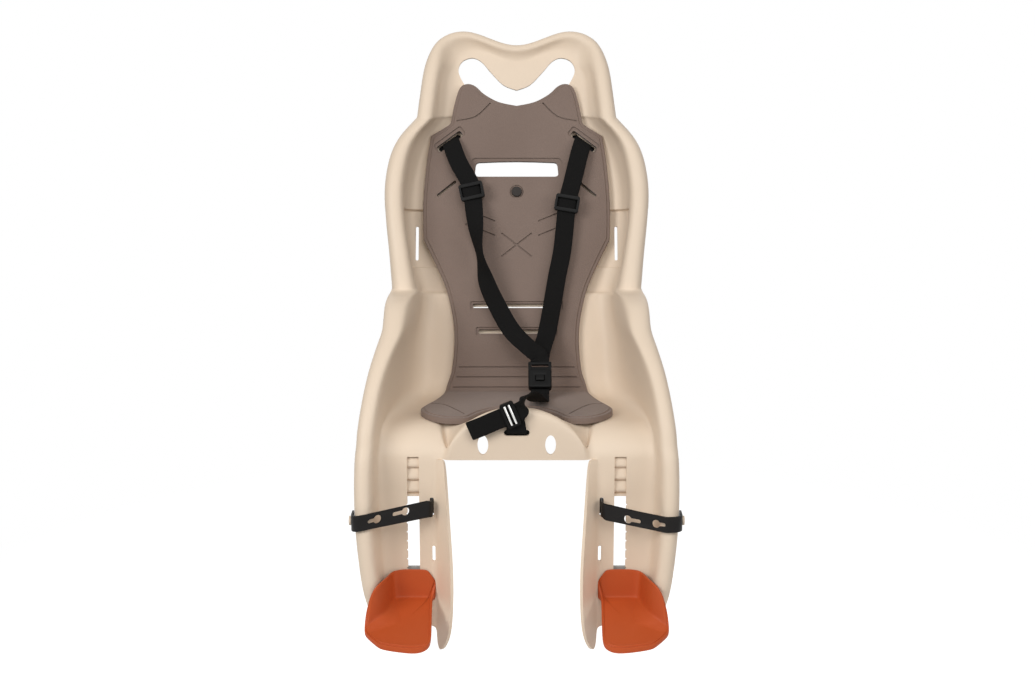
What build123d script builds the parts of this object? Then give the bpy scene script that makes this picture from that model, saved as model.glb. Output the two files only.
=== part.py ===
"""Rear child seat for a bicycle: moulded shell, foam pad, harness, foot straps and sliding footrests.

Millimetres. +Z is up and the child faces -Y. The origin is the middle of the seat pan's underside,
where the seat is bolted down to its carrier.
"""

from build123d import *

import os
from math import cos, radians, sin, tan
from typing import NamedTuple

os.makedirs("parts", exist_ok=True)

# Shell
WALL = 4.0
RECLINE = 18.0
BACK_Y = 85.0
PAN_Z = WALL
SHIN_Y = -105.0
SHIN_LOW_Z = -232.0
LIP = 14.0
ROLL_R = 12.0
WALL_FOOT_SINK = 3.0
STEP = 3.0
WAIST_W = 150.0
SHOULDER_W = 388.0
HEAD_DIP_W = 487.0
CREASE_R = 34.0
FRONT_ROLL_R = 30.0
WIDE = 260.0
WALL_SECTIONS = 9

# Inner blades of the legs
BLADE_FOOT_X = 101.0
BLADE_LEAN = 27.0
# Front edge of the blade: distance in front of the shin panel, height.
BLADE_FRONT = [(10, -10), (16, -48), (30, -110), (48, -180), (48, -232), (31, -272), (12, -290)]
BLADE_REAR = [(0, -284), (-3, -262), (-3, -10)]
WHEEL_GAP_TOP_Z = -35.0

# Pommel between the thighs
POMMEL_FRONT_Y = -110.0
POMMEL_FRONT = (86.0, 73.0)
POMMEL_REAR_Y = -12.0
POMMEL_REAR = (58.0, 36.0)
POMMEL_EDGE_R = 6.0

# Openings in the shell
# Right half of the head hole, from the tip of the hanging tongue round a lobe to the lower edge.
HEAD_HOLE = [
    (0, 425), (17, 432), (35, 450), (49, 465), (62, 470), (76, 464), (81, 451), (73, 433), (58, 412), (30, 399),
    (0, 395),
]
WINDOW = (126.0, 30.0)
WINDOW_W = 312.0
BELT_SLOT = (48.0, 4.0)
BELT_SLOT_AT = (136.0, 209.0)
STRAP_SLOT = (36.0, 8.0)
STRAP_SLOT_AT = (92.5, 350.0)
STRAP_SLOT_LEAN = 36.0
BACK_SLOTS = [(120.0, 7.5, 117.5), (104.0, 7.5, 80.0)]
RIVET_W = 279.0
RIVET_HOLE_R = 4.0
OVAL = (25.0, 13.5)
OVAL_AT = (43.0, -14.0)
CROTCH_SLOT = (32.0, 8.0)
CROTCH_SLOT_Z = 2.0
CARRIER_HOLE_R = 3.3
CARRIER_SPACING = (130.0, 60.0)
CARRIER_Y = 10.0
FOOT_SLOT_X = 131.0
FOOT_SLOT_W = 15.0
FOOT_SLOT_TOP_Z = -80.0
FOOT_SLOT_LOW_Z = -224.0
RATCHET_TOP_Z = -31.0
RATCHET_HIGH = RATCHET_TOP_Z - FOOT_SLOT_TOP_Z
RATCHET_STEPS = 3
RATCHET_WALL = 3.0
NOTCH_R = 1.6
NOTCH_PITCH = 12.0
NOTCH_COUNT = 9
FOOT_STRAP_SLOT = (24.0, 5.0)
FOOT_STRAP_SLOT_X = 107.5
FOOT_STRAP_SLOT_Z = [-96.0, -157.0]
STUD_Y = -141.0
STUD_Z = -102.5
STUD_NECK_R = 3.5
STUD_HEAD_R = 6.0
STUD_X = (200.0, 206.0, 209.0)

# Pad
PAD_GAP = 0.5
PAD_T = 9.0
PAD_GROOVE = 1.4
PAD_WINDOW = (118.0, 23.0)
PAD_SLOTS = [(120.0, 6.0, 121.0), (104.0, 6.0, 85.5)]
PAD_STRAP_SLOT = (40.0, 9.0)
PAD_LOW_SLOT = (33.0, 4.0)
PAD_LOW_SLOT_AT = (96.5, 283.5)
PAD_LOW_SLOT_LEAN = 39.0
PAD_BENDS = [42.0, 52.0, 62.0]
# Outline of the pad's right half: across and up the backrest, then across and along the pan.
PAD_EAR_IN = [(0, 401), (25, 405), (45, 415), (57, 427), (68, 431.5)]
PAD_EAR_OUT = [(68, 431.5), (79, 425), (85.5, 405), (90.5, 379)]
PAD_SHOULDER = [(90.5, 379), (94, 373), (118, 358)]
PAD_SIDE = [(118, 358), (124, 320), (128.5, 264), (128, 213)]
PAD_WAIST = [(128, 213), (117, 191), (104, 163), (94.5, 138), (86.5, 100), (85, 68), (88, 34), (94, 12)]
PAD_SEAT = [(90, 94), (100, 52), (109, 20), (120, -8), (124.5, -30), (114, -56), (93, -74), (70, -76), (60, -70)]
PAD_NOTCH = [(60, -70), (53, -56), (45, -42), (28, -25), (0, -17)]
# Straight lines pressed into the face: x, w, length, lean.
PAD_CROSS = [(0, 205, 53, 38), (0, 205, 53, -38)]
PAD_WHISKERS = [(50, 246, 44, 22), (50, 226, 44, 22)]
PAD_LINE = 2.2
RIVET_HEAD = (7.0, 3.0)
RIVET_SHANK_R = 3.5

# Footrests
FOOT_GAP = 0.5
FOOT_WALL = 3.0
FOOT_BACK_Y = SHIN_Y - FOOT_GAP
FOOT_TOP_Z = -179.0
FOOT_FLOOR_Z = -219.0
FOOT_FLOOR_FALL = 0.2
FOOT_CORNER_R = 12.0
FOOT_TAPER = 4.0
FOOT_CREASE_R = 5.0
# Plan of the tray: in the channel behind, past the front of the leg's rim outside, and round in front.
FOOT_PLAN = [
    (103, FOOT_BACK_Y), (103, -184), (113, -206), (131, -213), (162, -206), (187, -186), (189.5, -158.5),
    (161.5, -158.5), (158.5, -130), (155.5, FOOT_BACK_Y),
]
# Outline of the tray's walls from the front: x, z.
FOOT_FRONT = [(102, -197), (110, -179), (156, -179), (167, -183), (178, -191), (185, -206), (188, -220), (191, -234)]
NECK_HALF = 6.5
NECK_Z = (-216.0, -186.0)
LOCK_HALF = 15.0
LOCK_Z = (-221.0, -177.0)
LOCK_T = 4.0
LOCK_Y = SHIN_Y + WALL + FOOT_GAP

# Foot straps
FOOT_STRAP_W = 20.0
FOOT_STRAP_T = 2.5
# Plan of the strap: out of its slot, across the channel and round the outer rim.
STRAP_PATH = [
    (FOOT_STRAP_SLOT_X + 1.2, -92), (FOOT_STRAP_SLOT_X + 1.2, -118), (186, -156.6), (203.3, -157.2), (203.3, -131),
]
STRAP_BEND_R = 9.0
STRAP_SLOPE = -(STRAP_PATH[2][1] - STRAP_PATH[1][1]) / (STRAP_PATH[2][0] - STRAP_PATH[1][0])
# Keyholes: x of the round end and of the narrow end.
KEYHOLES = [(142.0, 157.0), (176.0, 186.0)]
KEYHOLE_R = (5.4, 2.7)

# Harness
WEB_W = 25.0
WEB_T = 1.6
ADJUSTER = (33.0, 23.0, 8.0)
ADJUSTER_BAR = 5.0
ANCHOR = (40.0, 9.0, 5.0)
BUCKLE_AT = (31.0, 32.0, 37.0)
BUCKLE_TILT = 50.0
BUCKLE = (31.0, 28.0, 13.0)
BUTTON = (11.0, 8.0, 6.0)
BUTTON_GAP = 0.4
BUTTON_PROUD = 1.6
BUTTON_TRAVEL = 2.5
TONGUE = (31.0, 12.0, 5.0)
SLIDER = (32.0, 18.0, 6.6)
SLIDER_BAR_R = 1.6

BACK_PLANE = Plane(
    origin=(0, BACK_Y, PAN_Z),
    x_dir=(1, 0, 0),
    z_dir=(0, -cos(radians(RECLINE)), sin(radians(RECLINE))),
)


class Station(NamedTuple):
    """One level cut through a side wall: where its foot stands and where its rolled rim runs."""

    z: float
    foot_x: float
    rim_x: float
    depth: float
    bulge: float = 5.0
    roll_r: float = ROLL_R
    lip: float = LIP


# depth is how far the rim stands in front of the backrest.
HEAD_STATIONS = [
    Station(364, 88, 138, 48),
    Station(398, 86, 132, 43),
    Station(424, 82, 128, 40, 5, ROLL_R, 12),
    Station(450, 76, 125, 35, 5, ROLL_R, 8),
    Station(468, 72, 117, 28, 3, 11, 4),
]
# The rolled top edge of the head: x, w of its crown, how far it stands in front of the plate.
HEAD_TOP = [
    (-115.5, 487, 27), (-105, 499, 23), (-90, 507, 20), (-68, 508.5, 18), (-45, 501, 17), (-20, 490.5, 16),
]
HEAD_TOP_ROLL_R = 8.0
HEAD_TOP_FOOT = 26.0
WING_STATIONS = [
    Station(146, 124, 166, 72),
    Station(197, 135, 171.5, 66),
    Station(249, 139, 178.5, 64),
    Station(276, 138, 180, 64),
    Station(303, 132, 177.5, 62),
    Station(333, 120, 170, 58),
    Station(353, 106, 157, 53),
    Station(367, 94, 143, 49),
    Station(376, 86, 132, 45),
]
HIP_STATIONS = [
    Station(-4, 137, 200.4, 215, 4),
    Station(10, 136, 199, 213.5, 4),
    Station(43, 134, 194, 203, 6),
    Station(71, 132, 188, 192, 8),
    Station(97, 130, 180.5, 175, 9),
    Station(118, 128, 174, 157, 9),
    Station(136, 126, 172.5, 138, 9),
    Station(150, 124, 170, 112, 9),
]
# depth is how far the rim stands in front of the shin panel.
LEG_STATIONS = [
    Station(6, 173, 199.4, 23, 0.5),
    Station(-18, 172, 201.5, 35, 1),
    Station(-54, 170, 203, 45, 2),
    Station(-100, 168, 202.5, 51, 3),
    Station(-145, 167.5, 199.5, 52, 2.5),
    Station(-195, 165.5, 194, 49, 2),
    Station(-218, 163, 189, 42, 1.5),
]
# The shin panels run on below the outer walls.
SHIN_FOOT = Station(-240, 158, 182, 32, 1.5)


def slopes(levels, values):
    """Slopes at each level of the smooth curve through the values that never overshoots them."""
    rises = [(values[i + 1] - values[i]) / (levels[i + 1] - levels[i]) for i in range(len(levels) - 1)]
    inner = [2 * a * b / (a + b) if a * b > 0 else 0.0 for a, b in zip(rises, rises[1:])]
    return [rises[0], *inner, rises[-1]]


def fair(rows, count):
    """Rows evenly spaced in their first value, on smooth curves through the given rows."""
    levels = [row[0] for row in rows]
    columns = list(zip(*rows))
    tangents = [slopes(levels, column) for column in columns]
    result = []
    for step in range(count):
        level = levels[0] + (levels[-1] - levels[0]) * step / (count - 1)
        i = max(k for k in range(len(levels) - 1) if abs(level - levels[0]) >= abs(levels[k] - levels[0]))
        span = levels[i + 1] - levels[i]
        t = (level - levels[i]) / span
        weights = (2 * t**3 - 3 * t**2 + 1, (t**3 - 2 * t**2 + t) * span, 3 * t**2 - 2 * t**3, (t**3 - t**2) * span)
        values = [
            weights[0] * c[i] + weights[1] * m[i] + weights[2] * c[i + 1] + weights[3] * m[i + 1]
            for c, m in zip(columns, tangents)
        ]
        result.append(type(rows[0])(*values) if isinstance(rows[0], Station) else tuple(values))
    return result


def back_y(z):
    """Depth of the backrest's front face at a height."""
    return BACK_Y + (z - PAN_Z) * tan(radians(RECLINE))


def up_back(z):
    """Distance up the backrest at a height."""
    return (z - PAN_Z) / cos(radians(RECLINE))


def wall_arc(station, foot_y, shift):
    """Three points of a wall's curve from its foot to its rim, shifted outwards from the inner face."""
    foot = (station.foot_x + shift, foot_y + WALL_FOOT_SINK)
    crest = (station.rim_x - 2 * station.roll_r + shift, foot_y - station.depth + station.roll_r)
    middle = ((foot[0] + crest[0]) / 2 + station.bulge, (foot[1] + crest[1]) / 2)
    return foot, middle, crest


def wall_section(station, foot_y):
    """Closed outline of one right-hand side wall with its rolled rim, at one level."""
    rim_x = station.rim_x
    rim_y = foot_y - station.depth
    middle_x = rim_x - station.roll_r
    crest_y = rim_y + station.roll_r
    lip_y = crest_y + station.lip
    foot_in, bulge_in, inner = wall_arc(station, foot_y, 0)
    foot_out, bulge_out, under_inner = wall_arc(station, foot_y, WALL)
    under_outer = (rim_x - WALL, crest_y)
    with BuildSketch(Plane.XY.offset(station.z)) as section:
        with BuildLine():
            ThreePointArc(inner, (middle_x, rim_y), (rim_x, crest_y))
            Polyline((rim_x, crest_y), (rim_x, lip_y), (rim_x - WALL, lip_y), under_outer)
            ThreePointArc(under_outer, (middle_x, rim_y + WALL), under_inner)
            ThreePointArc(under_inner, bulge_out, foot_out)
            Line(foot_out, foot_in)
            ThreePointArc(foot_in, bulge_in, inner)
        make_face()
    return section.sketch


def side_wall(stations, on_shin=False):
    """Right-hand wall with its rolled rim, lofted through its stations."""
    with BuildPart() as wall:
        for station in fair(stations, WALL_SECTIONS):
            add(wall_section(station, SHIN_Y if on_shin else back_y(station.z)))
        loft()
    return wall.part


def room_between(stations, rear_reach, on_shin=False):
    """The space between the middles of a left and a right wall, to trim flat panels to."""
    with BuildPart() as room:
        for station in fair(stations, WALL_SECTIONS):
            foot_y = SHIN_Y if on_shin else back_y(station.z)
            foot, middle, crest = wall_arc(station, foot_y, WALL / 2)
            rear = foot[1] + rear_reach
            with BuildSketch(Plane.XY.offset(station.z)):
                with BuildLine():
                    ThreePointArc(foot, middle, crest)
                    Line(crest, (-crest[0], crest[1]))
                    ThreePointArc((-crest[0], crest[1]), (-middle[0], middle[1]), (-foot[0], foot[1]))
                    Polyline((-foot[0], foot[1]), (-foot[0], rear), (foot[0], rear), foot)
                make_face()
        loft()
    return room.part


def back_plate(stations, low_w, high_w, forward, top=()):
    """Panel of the backrest between two heights, as wide as the feet of the walls, with a shaped top."""
    points = [(s.foot_x + WALL / 2, up_back(s.z)) for s in stations]
    low = (points[0][0], low_w)
    high = (points[-1][0], high_w)
    outline = [low, *points[1:-1], high]
    with BuildPart() as plate:
        with BuildSketch(BACK_PLANE.offset(forward)):
            with BuildLine():
                Spline(*outline)
                if top:
                    Spline(high, *top, (-high[0], high_w))
                else:
                    Line(high, (-high[0], high_w))
                Spline(*[(-x, w) for x, w in reversed(outline)])
                Line((-low[0], low_w), low)
            make_face()
        extrude(amount=-WALL)
    return plate.part


# Hip panel, pan and shin panels: one sheet, rounded at both bends.
with BuildPart() as bent_sheet:
    with BuildSketch(Plane.YZ.offset(-WIDE)):
        with BuildLine() as face_line:
            waist = BACK_PLANE.from_local_coords((0, WAIST_W, STEP))
            crease = (BACK_Y - STEP / cos(radians(RECLINE)), PAN_Z)
            FilletPolyline(
                (waist.Y, waist.Z), crease, (SHIN_Y, PAN_Z), (SHIN_Y, SHIN_LOW_Z), radius=FRONT_ROLL_R
            )
            offset(amount=WALL, side=Side.LEFT)
        make_face()
    extrude(amount=2 * WIDE)

hip_room = room_between(HIP_STATIONS, 40)
leg_room = room_between([*LEG_STATIONS, SHIN_FOOT], 60, on_shin=True)
right_walls = [
    side_wall(HEAD_STATIONS),
    side_wall(WING_STATIONS),
    side_wall(HIP_STATIONS),
    side_wall(LEG_STATIONS, on_shin=True),
]
wing_plate = back_plate(WING_STATIONS, WAIST_W - WALL, SHOULDER_W + WALL, 0)
half_top = fair([*HEAD_TOP, (0, HEAD_DIP_W, HEAD_TOP[-1][2])], WALL_SECTIONS)
whole_top = half_top + [(-x, w, d) for x, w, d in reversed(half_top[:-1])]
plate_top = [(-x, w - HEAD_TOP_FOOT + WALL) for x, w, d in whole_top if abs(x) < 70]
head_plate = back_plate(HEAD_STATIONS, SHOULDER_W, plate_top[0][1], STEP, plate_top)


def top_section(x, crown_w, depth):
    """Closed outline of the rolled top edge of the head, cut at one distance from the middle."""
    roll = HEAD_TOP_ROLL_R
    ahead = STEP + depth
    foot_w = crown_w - HEAD_TOP_FOOT
    side = Plane(origin=BACK_PLANE.from_local_coords((x, 0, 0)), x_dir=BACK_PLANE.y_dir, z_dir=(1, 0, 0))
    with BuildSketch(side) as section:
        with BuildLine():
            Line((foot_w, STEP), (crown_w - 2 * roll, ahead - roll))
            ThreePointArc((crown_w - 2 * roll, ahead - roll), (crown_w - roll, ahead), (crown_w, ahead - roll))
            Polyline(
                (crown_w, ahead - roll),
                (crown_w, ahead - roll - LIP / 2),
                (crown_w - WALL, ahead - roll - LIP / 2),
                (crown_w - WALL, ahead - roll),
            )
            ThreePointArc(
                (crown_w - WALL, ahead - roll),
                (crown_w - roll, ahead - WALL),
                (crown_w - 2 * roll + WALL, ahead - roll),
            )
            Polyline(
                (crown_w - 2 * roll + WALL, ahead - roll),
                (foot_w + WALL, STEP - WALL),
                (foot_w, STEP - WALL),
                (foot_w, STEP),
            )
        make_face()
    return section.sketch


with BuildPart() as head_top:
    for x, crown_w, depth in whole_top:
        add(top_section(x, crown_w, depth))
    loft()


def pommel_lump(inset):
    """Solid arch from the apron back to the pan, drawn in from the outer skin by an inset."""
    with BuildPart() as lump:
        for y, (half, high) in ((POMMEL_FRONT_Y + inset, POMMEL_FRONT), (POMMEL_REAR_Y, POMMEL_REAR)):
            with BuildSketch(Plane.XZ.offset(-y)):
                with Locations((0, WHEEL_GAP_TOP_Z)):
                    Ellipse(half - inset, high - inset)
                    Rectangle(2 * half, 2 * high, align=(Align.CENTER, Align.MAX), mode=Mode.SUBTRACT)
        loft(ruled=True)
    return lump.part


BLADE_PLANE = Plane(
    origin=(BLADE_FOOT_X, SHIN_Y + WALL / 2, 0),
    x_dir=(-sin(radians(BLADE_LEAN)), -cos(radians(BLADE_LEAN)), 0),
    z_dir=(-cos(radians(BLADE_LEAN)), sin(radians(BLADE_LEAN)), 0),
)

with BuildPart() as blade:
    with BuildSketch(BLADE_PLANE):
        with BuildLine():
            Spline(*BLADE_FRONT)
            Polyline(BLADE_FRONT[-1], *BLADE_REAR, BLADE_FRONT[0])
        make_face()
    extrude(amount=WALL / 2, both=True)

with BuildPart() as pommel_skin:
    add(pommel_lump(0))
    fillet(pommel_skin.edges().filter_by(GeomType.ELLIPSE).sort_by(Axis.Y)[0], POMMEL_EDGE_R)
    # Behind the front roll nothing hangs below the pan, so the underside rests flat on a carrier.
    with Locations((0, SHIN_Y + FRONT_ROLL_R, 0)):
        Box(4 * POMMEL_FRONT[0], 200, 100, align=(Align.CENTER, Align.MIN, Align.MAX), mode=Mode.SUBTRACT)
pommel_hollow = pommel_lump(WALL)

with BuildPart() as hip_sheet:
    add(bent_sheet.part)
    add(hip_room, mode=Mode.INTERSECT)
with BuildPart() as leg_sheet:
    add(bent_sheet.part)
    add(leg_room, mode=Mode.INTERSECT)

# Ratchet behind the shin panel: a shallow ribbed pocket above the footrest's slot.
with BuildPart() as ratchet:
    with BuildSketch(Plane.YZ.offset(FOOT_SLOT_X - FOOT_SLOT_W / 2 - RATCHET_WALL)):
        pitch = RATCHET_HIGH / RATCHET_STEPS
        with BuildLine():
            for step in range(RATCHET_STEPS):
                top = RATCHET_TOP_Z - step * pitch
                ThreePointArc(
                    (SHIN_Y + 6, top), (SHIN_Y + 2.5, top - 0.7 * pitch), (SHIN_Y + 6, top - pitch)
                )
            Polyline(
                (SHIN_Y + 6, FOOT_SLOT_TOP_Z),
                (SHIN_Y + 3, FOOT_SLOT_TOP_Z - 0.2),
                (SHIN_Y + 3, FOOT_SLOT_TOP_Z - RATCHET_WALL),
                (SHIN_Y + 9, FOOT_SLOT_TOP_Z - RATCHET_WALL),
                (SHIN_Y + 9, RATCHET_TOP_Z + RATCHET_WALL),
                (SHIN_Y + 3, RATCHET_TOP_Z + RATCHET_WALL),
                (SHIN_Y + 3, RATCHET_TOP_Z + 0.2),
                (SHIN_Y + 6, RATCHET_TOP_Z),
            )
        make_face()
    extrude(amount=FOOT_SLOT_W + 2 * RATCHET_WALL)

with BuildPart() as seat_shell:
    add(hip_sheet.part)
    add(leg_sheet.part)
    add(wing_plate)
    add(head_plate)
    add(head_top.part)
    for wall in right_walls:
        add(wall)
        add(mirror(wall, about=Plane.YZ, mode=Mode.PRIVATE))
    with Locations((0, SHIN_Y + 20, WHEEL_GAP_TOP_Z)):
        Box(2 * BLADE_FOOT_X, 80, 260, align=(Align.CENTER, Align.CENTER, Align.MAX), mode=Mode.SUBTRACT)
    add(pommel_skin.part)
    add(pommel_hollow, mode=Mode.SUBTRACT)
    add(blade.part)
    add(mirror(blade.part, about=Plane.YZ, mode=Mode.PRIVATE))
    # Openings of the backrest: head hole, window, belt slots, strap slots, pad slots and the rivet's hole.
    with BuildSketch(BACK_PLANE.offset(40)):
        with BuildLine():
            Spline(*HEAD_HOLE)
            Spline(*[(-x, w) for x, w in reversed(HEAD_HOLE)])
        make_face()
        with Locations((0, WINDOW_W)):
            RectangleRounded(*WINDOW, 4)
        for side in (-1, 1):
            with Locations((side * BELT_SLOT_AT[0], BELT_SLOT_AT[1])):
                SlotOverall(*BELT_SLOT, rotation=90)
            with Locations((side * STRAP_SLOT_AT[0], STRAP_SLOT_AT[1])):
                SlotOverall(*STRAP_SLOT, rotation=-side * STRAP_SLOT_LEAN)
        for length, width, at_w in BACK_SLOTS:
            with Locations((0, at_w)):
                RectangleRounded(length, width, 2)
        with Locations((0, RIVET_W)):
            Circle(RIVET_HOLE_R)
    extrude(amount=-60, mode=Mode.SUBTRACT)
    # Openings of the apron: two ovals and the crotch strap's slot.
    with BuildSketch(Plane.XZ.offset(-POMMEL_FRONT_Y + 10)):
        with Locations((-OVAL_AT[0], OVAL_AT[1]), (OVAL_AT[0], OVAL_AT[1])):
            SlotOverall(*OVAL, rotation=90)
        with Locations((0, CROTCH_SLOT_Z)):
            SlotOverall(*CROTCH_SLOT)
    extrude(amount=-20, mode=Mode.SUBTRACT)
    # Bolt holes down to the carrier.
    with BuildSketch(Plane.XY.offset(PAN_Z + 1)):
        with Locations((0, CARRIER_Y)):
            with GridLocations(*CARRIER_SPACING, 2, 2):
                Circle(CARRIER_HOLE_R)
    extrude(amount=-PAN_Z - 2, mode=Mode.SUBTRACT)
    # Openings of the shin panels: footrest slots with notched outer edges, and two strap slots each.
    with BuildSketch(Plane.XZ.offset(-SHIN_Y + 1)):
        for side in (-1, 1):
            with Locations((side * FOOT_SLOT_X, RATCHET_TOP_Z)):
                Rectangle(FOOT_SLOT_W, RATCHET_TOP_Z - FOOT_SLOT_LOW_Z, align=(Align.CENTER, Align.MAX))
            with Locations((side * (FOOT_SLOT_X + FOOT_SLOT_W / 2), FOOT_SLOT_TOP_Z - 14)):
                with Locations([(0, -step * NOTCH_PITCH) for step in range(NOTCH_COUNT)]):
                    Circle(NOTCH_R)
            with Locations([(side * FOOT_STRAP_SLOT_X, z) for z in FOOT_STRAP_SLOT_Z]):
                SlotOverall(*FOOT_STRAP_SLOT, rotation=90)
    extrude(amount=-WALL - 2, mode=Mode.SUBTRACT)
    for side in (-1, 1):
        if side > 0:
            add(ratchet.part)
        else:
            add(mirror(ratchet.part, about=Plane.YZ, mode=Mode.PRIVATE))
        # Stud that holds the end of the foot strap on the outside of the leg.
        with BuildSketch(Plane.YZ.offset(side * (STUD_X[0] - 1))):
            with Locations((STUD_Y, STUD_Z)):
                Circle(STUD_NECK_R)
        extrude(amount=side * (STUD_X[1] - STUD_X[0] + 1))
        with BuildSketch(Plane.YZ.offset(side * STUD_X[1])):
            with Locations((STUD_Y, STUD_Z)):
                Circle(STUD_HEAD_R)
        extrude(amount=side * (STUD_X[2] - STUD_X[1]))
seat_shell.part.label = "seat_shell"
export_step(seat_shell.part, "parts/seat_shell.step")

# Foam pad: one moulded sheet that follows the backrest, the crease and the pan.


def both_sides(*halves):
    """Draw lines of a right half and their mirror images on the left."""
    for half in halves:
        for points in (half, [(-x, w) for x, w in half]):
            if len(points) > 3:
                Spline(*points)
            else:
                Polyline(*points)


with BuildPart() as pad_back:
    with BuildSketch(BACK_PLANE):
        with BuildLine():
            both_sides(PAD_EAR_IN, PAD_EAR_OUT, PAD_SHOULDER, PAD_SIDE, PAD_WAIST)
            Line(PAD_WAIST[-1], (-PAD_WAIST[-1][0], PAD_WAIST[-1][1]))
        make_face()
    extrude(amount=60)
with BuildPart() as pad_seat:
    with BuildSketch(Plane.XY):
        with BuildLine():
            both_sides(PAD_SEAT, PAD_NOTCH)
            Line(PAD_SEAT[0], (-PAD_SEAT[0][0], PAD_SEAT[0][1]))
        make_face()
    extrude(amount=45)
with BuildPart() as pad_outline:
    add(pad_back.part)
    add(pad_seat.part)

with BuildPart() as seat_pad:
    with BuildSketch(Plane.YZ.offset(-WIDE)):
        with BuildLine():
            top = BACK_PLANE.from_local_coords((0, PAD_EAR_IN[-1][1] + 20, STEP + PAD_GAP))
            crease_y = BACK_Y - (STEP + PAD_GAP) / cos(radians(RECLINE)) + PAD_GAP * tan(radians(RECLINE))
            crease = (crease_y, PAN_Z + PAD_GAP)
            FilletPolyline((top.Y, top.Z), crease, (SHIN_Y, PAN_Z + PAD_GAP), radius=FRONT_ROLL_R - PAD_GAP)
            offset(amount=PAD_T, side=Side.RIGHT)
        make_face()
    extrude(amount=2 * WIDE)
    add(pad_outline.part, mode=Mode.INTERSECT)
    # Openings: strap slots, low slots, window, wide slots and the rivet's hole.
    with BuildSketch(BACK_PLANE.offset(40)):
        for side in (-1, 1):
            with Locations((side * STRAP_SLOT_AT[0], STRAP_SLOT_AT[1])):
                SlotOverall(*PAD_STRAP_SLOT, rotation=-side * STRAP_SLOT_LEAN)
            with Locations((side * PAD_LOW_SLOT_AT[0], PAD_LOW_SLOT_AT[1])):
                SlotOverall(*PAD_LOW_SLOT, rotation=-side * PAD_LOW_SLOT_LEAN)
        with Locations((0, WINDOW_W)):
            RectangleRounded(*PAD_WINDOW, 4)
        for length, width, at_w in PAD_SLOTS:
            with Locations((0, at_w)):
                RectangleRounded(length, width, 2)
        with Locations((0, RIVET_W)):
            Circle(RIVET_HOLE_R)
    extrude(amount=-39, mode=Mode.SUBTRACT)
    # Grooves pressed into the face.
    with BuildSketch(BACK_PLANE.offset(STEP + PAD_GAP + PAD_T - PAD_GROOVE)):
        for x, w, length, lean in PAD_CROSS:
            with Locations((x, w)):
                SlotOverall(length, PAD_LINE, rotation=lean)
        for side in (-1, 1):
            for x, w, length, lean in PAD_WHISKERS:
                with Locations((side * x, w)):
                    SlotOverall(length, PAD_LINE, rotation=side * lean)
            with Locations((side * 57, 384.5)):
                SlotArc(ThreePointArc((-side * 21, 19.5), (0, 0), (side * 24, -5.5)), PAD_LINE)
        for at_w in PAD_BENDS:
            with Locations((0, at_w)):
                SlotOverall(150, PAD_LINE)
    extrude(amount=20, mode=Mode.SUBTRACT)
seat_pad.part.label = "seat_pad"
export_step(seat_pad.part, "parts/seat_pad.step")

# Push rivet through the pad and the backrest.
with BuildPart() as pad_rivet:
    with BuildSketch(BACK_PLANE.offset(STEP + PAD_GAP + PAD_T)):
        with Locations((0, RIVET_W)):
            Circle(RIVET_HEAD[0])
    extrude(amount=RIVET_HEAD[1])
    with BuildSketch(BACK_PLANE.offset(STEP + PAD_GAP + PAD_T)):
        with Locations((0, RIVET_W)):
            Circle(RIVET_SHANK_R)
    extrude(amount=-(STEP + PAD_GAP + PAD_T + WALL + RIVET_HEAD[1]))
    with BuildSketch(BACK_PLANE.offset(-WALL)):
        with Locations((0, RIVET_W)):
            Circle(RIVET_HEAD[0] - 1)
    extrude(amount=-RIVET_HEAD[1])
    fillet(pad_rivet.edges().group_by(Axis.Y)[0], 1.2)
pad_rivet.part.label = "pad_rivet"
export_step(pad_rivet.part, "parts/pad_rivet.step")

# Left footrest: a scoop with a tall rear wall, on a neck that runs in the shin panel's slot.
def floor_line(y, lift):
    """Height of the tray's underside at a depth, raised by a lift."""
    return FOOT_FLOOR_Z - FOOT_WALL + (y - FOOT_BACK_Y) * FOOT_FLOOR_FALL + lift


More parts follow.
